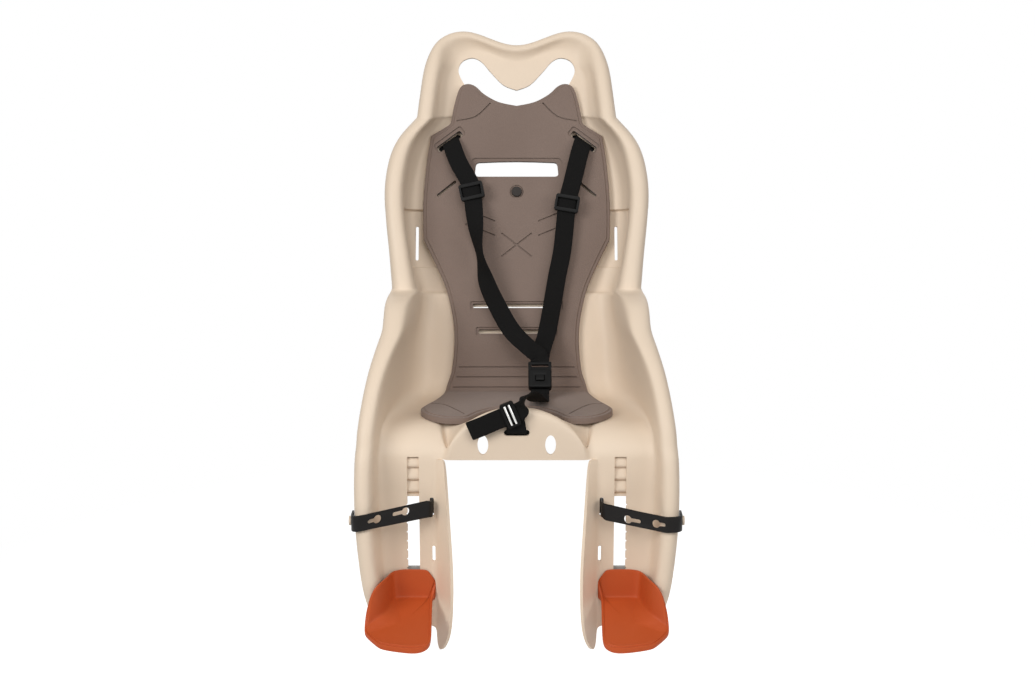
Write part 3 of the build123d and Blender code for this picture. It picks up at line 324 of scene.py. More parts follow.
class Tree:
    """A node tree with short ways to add nodes and join them."""

    def __init__(self, tree: bpy.types.NodeTree) -> None:
        """Wrap a shader tree or group."""
        self.tree = tree

    def add(self, kind: str, **values: object) -> bpy.types.Node:
        """Add a node and set its properties.

        Args:
            kind: Node type without its ShaderNode prefix.
            values: Properties of the node.

        Returns:
            The node.
        """
        node = self.tree.nodes.new("ShaderNode" + kind)
        for key, value in values.items():
            setattr(node, key, value)
        return node

    def link(self, source: bpy.types.NodeSocket, target: bpy.types.NodeSocket) -> None:
        """Join an output to an input."""
        self.tree.links.new(source, target)

    def math(self, operation: str, a: object, b: object = None) -> bpy.types.NodeSocket:
        """Add a math node on two sockets or numbers.

        Args:
            operation: Name of the operation.
            a: First socket or number.
            b: Second one, where there is one.

        Returns:
            The node's result.
        """
        node = self.add("Math", operation=operation)
        for socket, value in zip(node.inputs, (a, b)):
            if isinstance(value, bpy.types.NodeSocket):
                self.link(value, socket)
            elif value is not None:
                socket.default_value = value
        return node.outputs[0]

    def blend(
        self, amount: bpy.types.NodeSocket, first: tuple, second: tuple
    ) -> bpy.types.NodeSocket:
        """Mix two colours.

        Args:
            amount: How much of the second one there is.
            first: First colour.
            second: Second colour.

        Returns:
            The mixed colour.
        """
        node = self.add("Mix", data_type="RGBA")
        self.link(amount, node.inputs[0])
        node.inputs[6].default_value = (*first, 1)
        node.inputs[7].default_value = (*second, 1)
        return node.outputs[2]

    def spread(self, value: bpy.types.NodeSocket, low: float, high: float) -> bpy.types.NodeSocket:
        """Map a value from 0 to 1 onto a range.

        Args:
            value: The value.
            low: What 0 becomes.
            high: What 1 becomes.

        Returns:
            The mapped value.
        """
        node = self.add("MapRange")
        self.link(value, node.inputs["Value"])
        node.inputs["To Min"].default_value = low
        node.inputs["To Max"].default_value = high
        return node.outputs["Result"]

    def press(self, height: bpy.types.NodeSocket, depth: float, shader: bpy.types.Node) -> None:
        """Press a height into a shader's normal.

        Args:
            height: The height, about 0 to 1.
            depth: How deep it is, in metres.
            shader: The shader.
        """
        bump = self.add("Bump")
        bump.inputs["Distance"].default_value = depth
        self.link(height, bump.inputs["Height"])
        self.link(bump.outputs["Normal"], shader.inputs["Normal"])


def new_group(name: str, inputs: dict[str, float], outputs: list[str]) -> tuple[Tree, dict, dict]:
    """Start a shader node group.

    Args:
        name: Name of the group.
        inputs: Number sockets and their default values.
        outputs: Names of the number sockets that it puts out.

    Returns:
        Its tree, the sockets that carry its inputs and those that take its outputs.
    """
    group = bpy.data.node_groups.new(name, "ShaderNodeTree")
    for key, value in inputs.items():
        socket = group.interface.new_socket(key, in_out="INPUT", socket_type="NodeSocketFloat")
        socket.default_value = value
    for key in outputs:
        group.interface.new_socket(key, in_out="OUTPUT", socket_type="NodeSocketFloat")
    tree = Tree(group)
    given = group.nodes.new("NodeGroupInput").outputs
    taken = group.nodes.new("NodeGroupOutput").inputs
    return tree, given, taken


def make_grain_group() -> bpy.types.NodeTree:
    """Build the group for moulded grain: a fine height and a broad mottle.

    Returns:
        The group, with Height and Mottle as its outputs.
    """
    tree, given, taken = new_group("moulded grain", {"Scale": 900.0}, ["Height", "Mottle"])
    place = tree.add("TexCoord").outputs["Object"]
    fine = tree.add("TexNoise")
    fine.inputs["Detail"].default_value = 3.0
    broad = tree.add("TexNoise")
    broad.inputs["Scale"].default_value = 9.0
    broad.inputs["Detail"].default_value = 4.0
    pits = tree.add("TexVoronoi")
    for texture in (fine, broad, pits):
        tree.link(place, texture.inputs["Vector"])
    tree.link(given["Scale"], fine.inputs["Scale"])
    tree.link(tree.math("MULTIPLY", given["Scale"], 0.8), pits.inputs["Scale"])
    tree.link(tree.math("ADD", fine.outputs["Fac"], pits.outputs["Distance"]), taken["Height"])
    tree.link(broad.outputs["Fac"], taken["Mottle"])
    return tree.tree


def make_weave_group() -> bpy.types.NodeTree:
    """Build the group for webbing: a herringbone of threads on a UV map in metres.

    Returns:
        The group, with Height and Thread as its outputs.
    """
    warp_pitch = 0.0013
    sizes = {"Width": 0.025, "Rib": 0.0021}
    tree, given, taken = new_group("webbing weave", sizes, ["Height", "Thread"])
    split = tree.add("SeparateXYZ")
    tree.link(tree.add("UVMap").outputs["UV"], split.inputs[0])
    middle = tree.math("SUBTRACT", split.outputs["X"], tree.math("MULTIPLY", given["Width"], 0.5))
    folded = tree.math("PINGPONG", middle, tree.math("MULTIPLY", given["Width"], 0.25))
    slant = tree.math("ADD", split.outputs["Y"], folded)
    turns = tree.math("DIVIDE", slant, given["Rib"])
    rib = tree.math("SINE", tree.math("MULTIPLY", turns, 2 * math.pi))
    warp = tree.math("SINE", tree.math("MULTIPLY", split.outputs["X"], 2 * math.pi / warp_pitch))
    height = tree.math("ADD", tree.math("MULTIPLY", rib, 0.35), tree.math("MULTIPLY", warp, 0.2))
    tree.link(tree.math("ADD", height, 0.5), taken["Height"])
    tree.link(tree.math("ADD", tree.math("MULTIPLY", rib, 0.5), 0.5), taken["Thread"])
    return tree.tree


GRAIN_GROUP = make_grain_group()
WEAVE_GROUP = make_weave_group()


@dataclass(frozen=True)
class Finish:
    """A finish: the name of its material and the slot that it fills."""

    name: str
    slot: str

    def wire(self, tree: Tree, shader: bpy.types.Node) -> None:
        """Set up the shader; each kind of finish has its own way."""
        raise NotImplementedError(self.name)

    def material(self) -> bpy.types.Material:
        """Build the material, or find it if it is built.

        Returns:
            The material.
        """
        if self.name in bpy.data.materials:
            return bpy.data.materials[self.name]
        material = bpy.data.materials.new(self.name)
        material.use_nodes = True
        self.wire(Tree(material.node_tree), material.node_tree.nodes["Principled BSDF"])
        return material


@dataclass(frozen=True)
class MouldedFinish(Finish):
    """Moulded plastic, rubber or foam: two close colours, a grain and a sheen."""

    colour: tuple[float, float, float]
    shade: tuple[float, float, float]
    grain: Grain
    rough: tuple[float, float] = (0.45, 0.6)
    sheen: float = 0.0
    specular: float = 0.5

    def wire(self, tree: Tree, shader: bpy.types.Node) -> None:
        """Mix the colours and the roughness by the mottle, and press the grain in.

        Args:
            tree: Node tree of the material.
            shader: Its shader.
        """
        scale, depth = self.grain.value
        grain = tree.add("Group", node_tree=GRAIN_GROUP)
        grain.inputs["Scale"].default_value = scale
        mottle = grain.outputs["Mottle"]
        tree.link(tree.blend(mottle, self.colour, self.shade), shader.inputs["Base Color"])
        tree.link(tree.spread(mottle, *self.rough), shader.inputs["Roughness"])
        shader.inputs["Sheen Weight"].default_value = self.sheen
        shader.inputs["Specular IOR Level"].default_value = self.specular
        tree.press(grain.outputs["Height"], depth, shader)


@dataclass(frozen=True)
class WebbingFinish(Finish):
    """Woven polyester webbing with a herringbone of threads."""

    colour: tuple[float, float, float]
    thread: tuple[float, float, float]
    width: float = 0.025
    rough: tuple[float, float] = (0.85, 0.68)
    specular: float = 0.08
    depth: float = 0.0003
    fuzz: tuple[float, float] = (1500.0, 0.25)

    def wire(self, tree: Tree, shader: bpy.types.Node) -> None:
        """Mix the colours and the roughness by the threads, and press weave and fuzz in.

        Args:
            tree: Node tree of the material.
            shader: Its shader.
        """
        scale, share = self.fuzz
        weave = tree.add("Group", node_tree=WEAVE_GROUP)
        weave.inputs["Width"].default_value = self.width
        grain = tree.add("Group", node_tree=GRAIN_GROUP)
        grain.inputs["Scale"].default_value = scale
        thread = weave.outputs["Thread"]
        tree.link(tree.blend(thread, self.colour, self.thread), shader.inputs["Base Color"])
        tree.link(tree.spread(thread, *self.rough), shader.inputs["Roughness"])
        shader.inputs["Specular IOR Level"].default_value = self.specular
        fuzz = tree.math("MULTIPLY", grain.outputs["Height"], share)
        tree.press(tree.math("ADD", weave.outputs["Height"], fuzz), self.depth, shader)


@dataclass(frozen=True)
class MetalFinish(Finish):
    """Bright plated steel, lightly scuffed."""

    colour: tuple[float, float, float]
    rough: tuple[float, float] = (0.12, 0.32)
    scuff: float = 700.0

    def wire(self, tree: Tree, shader: bpy.types.Node) -> None:
        """Make the shader a metal whose roughness varies with the scuffs.

        Args:
            tree: Node tree of the material.
            shader: Its shader.
        """
        shader.inputs["Base Color"].default_value = (*self.colour, 1)
        shader.inputs["Metallic"].default_value = 1.0
        grain = tree.add("Group", node_tree=GRAIN_GROUP)
        grain.inputs["Scale"].default_value = self.scuff
        tree.link(tree.spread(grain.outputs["Mottle"], *self.rough), shader.inputs["Roughness"])


CREAM = MouldedFinish(
    "cream shell plastic", "shell_plastic", (0.755, 0.622, 0.487), (0.715, 0.582, 0.447), Grain.FINE,
    rough=(0.42, 0.55), specular=0.3,
)
BROWN_FOAM = MouldedFinish(
    "brown pad foam", "pad_foam", (0.2, 0.144, 0.117), (0.165, 0.116, 0.093), Grain.FOAM,
    rough=(0.62, 0.8), sheen=0.15, specular=0.35,
)
TERRACOTTA = MouldedFinish(
    "terracotta tray plastic", "tray_plastic", (0.48, 0.082, 0.019), (0.42, 0.067, 0.014), Grain.FINE,
    rough=(0.42, 0.55), specular=0.22,
)
GREY = MouldedFinish(
    "grey lock plastic", "grey_plastic", (0.36, 0.35, 0.33), (0.3, 0.29, 0.28), Grain.FINE
)
BLACK_RUBBER = MouldedFinish(
    "black strap rubber", "strap_rubber", (0.008, 0.0072, 0.007), (0.012, 0.0108, 0.01), Grain.SATIN,
    rough=(0.36, 0.5), specular=0.14,
)
BLACK_PLASTIC = MouldedFinish(
    "black buckle plastic", "black_plastic", (0.004, 0.004, 0.004), (0.007, 0.0068, 0.0065), Grain.SATIN,
    rough=(0.34, 0.46), specular=0.1,
)
DARK_RIVET = MouldedFinish(
    "dark rivet plastic", "dark_plastic", (0.028, 0.024, 0.022), (0.04, 0.034, 0.031), Grain.SATIN,
    specular=0.12,
)
BLACK_WEBBING = WebbingFinish("black webbing", "webbing", (0.003, 0.003, 0.003), (0.0095, 0.009, 0.0086))
BRIGHT_STEEL = MetalFinish("bright bar steel", "bar_steel", (0.72, 0.72, 0.7))


def dress(obj: bpy.types.Object, finish: Finish, body: str, *nodes: str) -> None:
    """Give a piece its finish and its place in the frame.

    Args:
        obj: The piece.
        finish: Its finish.
        body: The body that it moves with.
        nodes: CAD nodes that it stands for.
    """
    obj.data.materials.clear()
    obj.data.materials.append(finish.material())
    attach(obj, body)
    if nodes:
        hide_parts(*nodes)
    LOG.info("%s on %s, %d faces", obj.name, body, len(obj.data.polygons))


SHIN_Y = -105.0
PAN_Z = 4.0
# Middle of the slot in which a footrest slides.
SLOT_X = 131.0
# How far the lower back and the head stand in front of the panel between them.
STEP = 3.0
# Depth in front of which a low row belongs to a leg, and the heights at which hips and wings end.
LEG_Y = -96.0
HIP_TOP = 150.0
WING_TOP = 372.0
# Height up the backrest, and how far out the panel starts to show beside the pad.
PAD_EDGE = [(136, 81.7), (215, 117.25)]

# Levels of the side walls: height, foot, rim, depth, bulge and radius of the rolled rim.
HEAD_WALL = [
    (364, 88, 138, 48, 5, 12),
    (398, 86, 134, 43, 5, 12),
    (424, 82, 130.5, 39, 5, 12),
    (450, 76, 126.5, 33, 5, 12),
    (468, 72, 117, 28, 3, 11),
]
WING_WALL = [
    (146, 124, 167.5, 72, 5, 18),
    (197, 135, 172.5, 66, 5, 15),
    (249, 139, 178.5, 64, 5, 14),
    (276, 138, 180, 64, 5, 14),
    (303, 132, 177.5, 62, 5, 14),
    (333, 120, 170, 58, 5, 13),
    (353, 106, 157, 53, 5, 12),
    (367, 94, 143, 49, 5, 12),
    (376, 88, 136, 46, 5, 12),
]
HIP_WALL = [
    (-4, 137, 200.4, 215, 4, 12),
    (10, 136, 199, 213.5, 4, 12),
    (43, 134, 194, 203, 3, 12),
    (71, 132, 188, 192, 2, 12.5),
    (97, 130, 179.8, 175, 1, 14),
    (118, 128, 173.4, 157, 0, 16),
    (136, 126, 173.4, 138, 0, 17),
    (145, 125, 172.2, 124, 0, 17),
    (150, 124, 168.5, 100, 1, 17),
]
LEG_WALL = [
    (6, 173, 199.4, 23, 0.5, 12),
    (-18, 172, 201.5, 35, 1, 12),
    (-54, 170, 203, 45, 2, 12),
    (-100, 168, 202.5, 51, 3, 12),
    (-145, 167.5, 199.5, 52, 2.5, 12),
    (-195, 165.5, 194, 49, 2, 12),
    (-218, 163, 189, 42, 1.5, 12),
]


@dataclass(frozen=True)
class WallLevel:
    """One level of a side wall: its foot on the panel, its rim and how far it stands out."""

    z: float
    foot_x: float
    rim_x: float
    depth: float
    bulge: float
    roll: float
    foot_y: float

    @property
    def crest_y(self) -> float:
        """Depth of the middle of the rolled rim."""
        return self.foot_y - self.depth + self.roll

    def face_x(self, y: float) -> float:
        """How far out the wall's inner face is.

        Args:
            y: Depth at which it is read.

        Returns:
            Its place across.
        """
        start = self.foot_y + STEP
        t = min(max((start - y) / (start - self.crest_y), -0.2), 1.0)
        reach = self.rim_x - 2 * self.roll - self.foot_x
        return self.foot_x + reach * t + 4 * self.bulge * t * (1 - t)


def wall_at(z: float, y: float = 0.0) -> WallLevel:
    """Read the wall at a height.

    Args:
        z: The height.
        y: The depth, which tells a leg from a hip.

    Returns:
        The wall's level there.
    """
    if z < 0 and y < LEG_Y:
        return WallLevel(*along(LEG_WALL, z), foot_y=SHIN_Y)
    table = HIP_WALL if z <= HIP_TOP else WING_WALL if z <= WING_TOP else HEAD_WALL
    return WallLevel(*along(table, z), foot_y=BACK.depth(z))


@dataclass(frozen=True)
class Pommel:
    """The hollow arch between the legs: half width and height in front and at the back."""

    front_y: float = -110.0
    rear_y: float = -12.0
    front: tuple[float, float] = (90.0, 73.0)
    rear: tuple[float, float] = (58.0, 36.0)
    foot_z: float = -33.8
    # Across which the arch blends into the panel beside it.
    fade: tuple[float, float] = (87.0, 95.0)

    def height(self, x: float, y: float, least: float) -> float:
        """Height of the arch over a point of the pan.

        Args:
            x: Place across.
            y: Depth.
            least: Height that is given where the arch is lower.

        Returns:
            The height.
        """
        t = min(max((y - self.front_y) / (self.rear_y - self.front_y), 0.0), 1.0)
        half = self.front[0] + (self.rear[0] - self.front[0]) * t
        high = self.front[1] + (self.rear[1] - self.front[1]) * t
        arch = self.foot_z + high * math.sqrt(max(1 - (x / half) ** 2, 0.0))
        return max(arch, least)


@dataclass
class Shell:
    """The moulded shell: legs, pan, hips, wings and head as one sheet with rolled rims."""

    thick: float = 4.0
    lip: float = 14.0
    front_roll: tuple[float, float, float] = (-62.0, -39.0, 43.0)
    blade_x: float = 103.0
    blade_top: float = -20.0
    blade_shares: tuple = (0.3, 0.65, 1.0)
    # How far the shin panel's lower corner is drawn down beside the blade, and over which width.
    corner_drop: float = 25.0
    corner_width: tuple = (4.0, 40.0)
    pole_w: float = 460.0
    pommel: Pommel = Pommel()
    # Shares of the panel's width, with the blade's own column, and of the wall's rise, and the angle in degrees
    # at which the wall meets its rim.
    panel: tuple = (
        0, 0.1, 0.2, 0.3, 0.4, 0.455, 0.495, 0.522, 0.55, 0.584, 0.64, 0.70, 0.757, 0.82, 0.92,
    )
    blade_column: int = 9
    rise: tuple = (0.12, 0.32, 0.55, 0.78)
    start: float = 150.0
    # Ledges beside the pad: height up the backrest, and how far the panel is set back there. Then the lean of
    # the ledges, and over which distance in front of the panel they fade out up the wall.
    ledges: tuple = (
        (136, 0.0), (138, 0.5), (141, 2.2), (144, 3.8), (146, 4.2), (176, 3.0), (177.5, 4.8), (254.5, 4.2),
        (256.5, 0.0),
    )
    ledge_tilt: float = math.radians(10.0)
    ledge_fade: tuple = (28.0, 50.0)
    # Front edge of the blade, row by row from its foot.
    blade_ends: tuple = (
        (98.5, -113, -288), (91.5, -122, -275), (86.3, -133, -255), (83.6, -145, -222), (82.6, -148, -188),
        (83.6, -141, -157), (86.1, -133, -124), (88.1, -124.5, -92), (90.1, -116, -60), (91.6, -110.5, -33.8),
    )
    # Right half of the hole in the head: across and up the backrest.
    head_hole: tuple = (
        (0, 424.5), (18.5, 432), (36, 450), (49, 465), (62, 470.5), (76, 465), (81, 451), (73, 433),
        (58, 412), (30, 399), (0, 395),
    )
    # Openings in the middle of the backrest: height up it, width, height and radius of the corners.
    middle_slots: tuple = ((312, 126, 30, 4), (117.1, 120, 7.5, 2), (80, 104, 7.5, 2), (279, 8, 8, 3.9))
    # Belt and shoulder slots: place across and up, turn, width, height and radius of the corners.
    side_slots: tuple = ((137.2, 209, 0, 4, 48, 1.9), (92.5, 350, -36, 36, 8, 3.9))
    # Footrest slot and strap slots in each shin: place across and up, width, height and radius.
    shin_slots: tuple = (
        (SLOT_X, -127.5, 15, 193, 1.5), (107.5, -96, 5, 24, 1.9), (105.5, -158, 4, 20.5, 1.9),
    )
    # Oval in each half of the apron: place across and up, and half its width and height.
    oval: tuple = (42.5, -14.0, 6.8, 12.8)
    crotch_slot: tuple = (2.0, 32, 8, 3.9)
    bolts: tuple = ((65, -20), (65, 40))
    # Depth and height of the stud on the outside of each leg, then the radius of its shank and of its head,
    # and where each starts and ends across the seat.
    stud: tuple = (-141.0, -102.5)
    stud_parts: tuple = ((3.5, 197, 207), (6, 206, 209))
    # Rows from the feet up. On the shins: height in the middle and at the rim.
    shin_rows: tuple = (
        (-232, -218), (-222, -212), (-210, -203), (-195, -190), (-175, -175), (-150, -150), (-120, -120),
        (-90, -90), (-60, -60),
    )
    # At the foot of the apron: depth, height, height at the rim, depth on the apron and share of the arch.
    apron_rows: tuple = (
        (SHIN_Y + 0.3, Pommel.foot_z, -35, (-109, 0)), (SHIN_Y + 2.3, -25, -22, (-110, 0.28)),
    )
    # Over the front roll: degrees round it, height at the rim, depth on the apron and share of the arch.
    roll_rows: tuple = ((38, -12, (-110.5, 0.58)), (62, -2, (-109.5, 0.86)), (90, 10, (-101, 1)))
    # Along the pan: depth, height at the rim and depth on the arch.
    pan_rows: tuple = ((-46, 25, (-70, None)), (-26, 39, (-38, None)), (-5, 53, None), (20, 68, None))
    # Round the bend: depth, height and height at the rim.
    bend_rows: tuple = ((42, 4, 80), (62, 4.4, 90), (77.6, 9.7, 98), (88.6, 24.7, 106))
    # Up the lower back: height in the middle and at the rim.
    hip_rows: tuple = (
        (45, 114), (70, 122), (95, 130), (118, 139), (131, 146), (137.5, 149.2), (139.8, 150),
    )
    # Up the panel: rows that still rise to the rim, then level ones, and those of the head.
    rising_rows: tuple = ((141, 150.9), (145, 154))
    wing_rows: tuple = (163, 185, 205, 230, 255, 280, 303, 325, 343, 357, 366, 371)
    head_rows: tuple = (373, 378, 386, 400, 418, 434)
    # Round the crown: foot, outermost point and depth, direction, radius and angle of its rim.
    crowns: tuple = (
        ((78, 459), (125, 464, 27), 12, 12, 145),
        ((77, 467), (116, 486.5, 20), 38, 11, 135),
        ((71, 474), (104.5, 498.5, 15), 60, 10, 125),
        ((63, 478), (89.5, 506.5, 12), 76, 9, 118),
        ((52, 480), (68, 509, 10), 92, 8, 112),
        ((35, 476), (45, 501.5, 9), 105, 8, 110),
        ((17, 467), (20, 491, 8), 101, 8, 110),
        ((0, 463), (0, 487.5, 8), 90, 8, 110),
    )

    def level_row(self, y: float, z: float, rim_z: float, apron: tuple | None = None) -> list[Vector]:
        """Place the right half of a row: along the panel, up the wall and round the rim.

        Args:
            y: Depth of the row in the middle.
            z: Its height there.
            rim_z: Height at which it reaches the rim.
            apron: Depth on the arch and share of its height, for a row that crosses the pommel.

        Returns:
            Points from the middle out to the lip.
        """
        wall = wall_at(rim_z, y)
        foot_x = wall_at(z, y).face_x(y)
        blade_x = self.blade_x if z < self.blade_top else self.panel[self.blade_column] * foot_x
        flat = [Vector((self.across(f, foot_x, blade_x), y, z)) for f in self.panel]
        points = [self.on_pommel(point, apron) for point in flat]
        for f in self.rise:
            side_y = y + (wall.crest_y - y) * f
            side_z = z + (rim_z - z) * f
            points.append(Vector((wall_at(side_z, side_y).face_x(side_y), side_y, side_z)))
        centre = Vector((wall.rim_x - wall.roll, wall.crest_y, rim_z))
        for turn in self.turns(self.start):
            points.append(centre + wall.roll * Vector((math.cos(turn), -math.sin(turn), 0)))
        points.append(Vector((wall.rim_x, wall.crest_y + self.lip, rim_z)))
        return points

    def turns(self, start: float) -> list[float]:
        """Angles round the rolled rim, in radians, from where the wall meets it to its outermost line."""
        return [math.radians(start * (1 - step / 4)) for step in range(5)]

    def across(self, share: float, foot_x: float, blade_x: float) -> float:
        """Place a share of the panel's width, with the blade's foot on a column of its own.

        Args:
            share: The share.
            foot_x: Where the panel ends.
            blade_x: Where the blade stands.

        Returns:
            The place across.
        """
        blade = self.panel[self.blade_column]
        if share <= blade:
            return blade_x * share / blade
        return blade_x + (foot_x - blade_x) * (share - blade) / (1 - blade)

    def on_pommel(self, point: Vector, apron: tuple | None) -> Vector:
        """Lift a point of a row onto the pommel, fading out beside it.

        Args:
            point: The point on the plain panel.
            apron: Depth on the arch, and share of its height on the apron or None behind it.

        Returns:
            The point on the pommel.
        """
        if apron is None:
            return point
        y, share = apron
        foot = self.pommel.foot_z
        least = PAN_Z if share is None else foot
        top = self.pommel.height(point.x, max(y, self.pommel.front_y), least)
        z = top if share is None else foot + share * (top - foot)
        return point.lerp(Vector((point.x, y, z)), 1 - ease(abs(point.x), *self.pommel.fade))

    def crown_row(self, foot: tuple, crown: tuple, lean: float, roll: float, start: float) -> list[Vector]:
        """Place the right half of a row that fans out from the middle of the head to its top edge.

        Args:
            foot: Foot of the rim on the panel, across and up the backrest.
            crown: Outermost point of the rim and its depth in front of the panel.
            lean: Direction of the rim, in degrees above level.
            roll: Radius of the rolled rim.
            start: Angle at which the panel flows into the rim.

        Returns:
            Points from the middle out to the lip.
        """
        out = Vector((math.cos(math.radians(lean)), math.sin(math.radians(lean))))
        pole, foot_at = Vector((0, self.pole_w)), Vector(foot)
        ahead = STEP + crown[2]
        crest = Vector(crown[:2]) - roll * out
        points = [BACK.point(*pole.lerp(foot_at, f), STEP) for f in self.panel]
        turns = self.turns(start)
        meet = crest + roll * math.cos(turns[0]) * out
        high = crown[2] - roll + roll * math.sin(turns[0])
        for f in self.rise:
            points.append(BACK.point(*foot_at.lerp(meet, f), STEP + high * f * f))
        for turn in turns:
            at = crest + roll * math.cos(turn) * out
            points.append(BACK.point(*at, ahead - roll + roll * math.sin(turn)))
        points.append(BACK.point(*crown[:2], ahead - roll - self.lip / 2))
        return points

    def rows(self) -> list[list[Vector]]:
        """Place every row of the right half, from the feet up to the middle of the head's top edge.

        Returns:
            The rows, each from the middle out to the lip.
        """
        roll_y, roll_z, roll_r = self.front_roll
        near, far = (self.blade_x + width for width in self.corner_width)
        lift = STEP / math.cos(BACK.recline)
        rows = [self.level_row(SHIN_Y, z, rim_z) for z, rim_z in self.shin_rows]
        for point in rows[0][self.blade_column : len(self.panel)]:
            point.z -= self.corner_drop * (1 - ease(point.x, near, far))
        rows += [self.level_row(*row) for row in self.apron_rows]
        for degrees, rim_z, apron in self.roll_rows:
            turn = math.radians(degrees)
            y, z = roll_y - roll_r * math.cos(turn), roll_z + roll_r * math.sin(turn)
            rows.append(self.level_row(y, z, rim_z, apron))
        rows += [self.level_row(y, PAN_Z, rim_z, apron) for y, rim_z, apron in self.pan_rows]
        rows += [self.level_row(*row) for row in self.bend_rows]
        rows += [self.level_row(BACK.depth(z) - lift, z, rim_z) for z, rim_z in self.hip_rows]
        rows += [self.level_row(BACK.depth(z), z, rim_z) for z, rim_z in self.rising_rows]
        rows += [self.level_row(BACK.depth(z), z, z) for z in self.wing_rows]
        rows += [self.level_row(BACK.depth(z) - lift, z, z) for z in self.head_rows]
        return rows + [self.crown_row(*crown) for crown in self.crowns]

    def sheet(self) -> bmesh.types.BMesh:
        """Shape a grid into the sheet's front face, with the wheel's gap open between the legs.

        Returns:
            The mesh, with its faces towards the child.
        """
        rows = self.rows()
        half = len(rows[0])
        bm = bmesh.new()
        bmesh.ops.create_grid(bm, x_segments=2 * half - 2, y_segments=len(rows) - 1, size=1)
        bm.verts.ensure_lookup_table()
        for index, vert in enumerate(bm.verts):
            row, column = divmod(index, 2 * half - 1)
            point = rows[row][abs(column - half + 1)]
            sign = -1 if column < half - 1 else 1
            vert.co = Vector((sign * point.x, point.y, point.z)) * MM
        bmesh.ops.remove_doubles(bm, verts=bm.verts, dist=0.00005)
        low = (self.pommel.foot_z + 0.1) * MM
        gap = [
            face
            for face in bm.faces
            if all(v.co.z < low and abs(v.co.x) < (self.blade_x + 0.1) * MM for v in face.verts)
        ]
        bmesh.ops.delete(bm, geom=gap, context="FACES")
        return bm

    def add_blades(self, bm: bmesh.types.BMesh) -> None:
        """Fold the inner edge of each shin panel forwards into a blade.

        Args:
            bm: The sheet, in metres.
        """
        top = (self.pommel.foot_z + 0.1) * MM
        slow, fast = 3, 1.6
        for side in Side:
            foot_x = side.value * self.blade_x * MM
            fold = {v for v in bm.verts if abs(v.co.x - foot_x) < 1e-5 and v.co.z < top}
            edges = [e for e in bm.edges if all(v in fold for v in e.verts)]
            feet = sorted((v.co.copy() for v in fold), key=lambda foot: foot.z)
            for share in self.blade_shares:
                made = bmesh.ops.extrude_edge_only(bm, edges=edges)["geom"]
                verts = sorted((i for i in made if isinstance(i, bmesh.types.BMVert)), key=lambda v: v.co.z)
                lines = [i for i in made if isinstance(i, bmesh.types.BMEdge)]
                edges = [line for line in lines if all(v in verts for v in line.verts)]
                for row, (vert, foot) in enumerate(zip(verts, feet)):
                    x, y, low = self.blade_ends[row]
                    end = Vector((side.value * x, y, low)) * MM
                    # The lowest row turns down before it turns forwards, which rounds the blade's foot.
                    out = share**slow if row == 0 else share
                    down = 1 - (1 - share) ** fast if row == 0 else share
                    vert.co = foot.lerp(end, out)
                    vert.co.z = foot.z + (end.z - foot.z) * down
        bmesh.ops.recalc_face_normals(bm, faces=bm.faces)

    def ledge_depth(self, w: float) -> float:
        """How far the panel beside the pad is set back.

        Args:
            w: Height up the backrest.

        Returns:
            The depth, or 0 above and below the ledges.
        """
        for (low, first), (high, last) in zip(self.ledges, self.ledges[1:]):
            if low <= w <= high:
                return first + (last - first) * (w - low) / (high - low)
        return 0.0

    def press_ledges(self, bm: bmesh.types.BMesh) -> None:
        """Set the panel beside the pad back between its ledges, fading out under the pad and up the wall.

        Args:
            bm: The smooth sheet, in metres, with its faces towards the child.
        """
        tilt = self.ledge_tilt
        up = Vector((0, math.sin(tilt), math.cos(tilt))) / math.cos(BACK.recline - tilt)
        front = Vector((0, -math.cos(BACK.recline), math.sin(BACK.recline)))
        foot = BACK.point(0, 0, 0)
        hidden, margin, fade = 80, 30, 8
        for level, _ in self.ledges:
            middles = {f: f.calc_center_median() / MM - foot for f in bm.faces}
            near = [f for f, m in middles.items() if abs(m.x) > hidden and abs(m.dot(up) - level) < margin]
            geom = near + list({e for f in near for e in f.edges}) + list({v for f in near for v in f.verts})
            place = BACK.point(0, level, 0) * MM
            bmesh.ops.bisect_plane(bm, geom=geom, dist=1e-6, plane_co=place, plane_no=up)
        bm.normal_update()
        moves = []
        for vert in bm.verts:
            point = vert.co / MM - foot
            w = point.dot(up)
            shows_from = along(PAD_EDGE, w)[1]
            share = ease(abs(point.x), shows_from, shows_from + fade)
            share *= 1 - ease(point.dot(front), *self.ledge_fade)
            moves.append(vert.normal * self.ledge_depth(w) * share * MM)
        for vert, move in zip(bm.verts, moves):
            vert.co -= move

    def back_openings(self, bm: bmesh.types.BMesh) -> None:
        """Add the cutters of the backrest: head hole, window, pad slots, rivet hole, belt and shoulder slots.

        Args:
            bm: The mesh that they are added to.
        """
        through = (-30, 40)
        hole = mirrored(smooth_line([Vector(p) for p in self.head_hole], 4))
        outline_prism(bm, BACK.frame(0, 0, 0), hole, *through)
        for w, width, height, radius in self.middle_slots:
            rounded_prism(bm, BACK.frame(0, w, 0), width, height, radius, *through)
        for side in Side:
            for x, w, turn, width, height, radius in self.side_slots:
                place = BACK.frame(side.value * x, w, 0, side.value * turn)
                rounded_prism(bm, place, width, height, radius, *through)

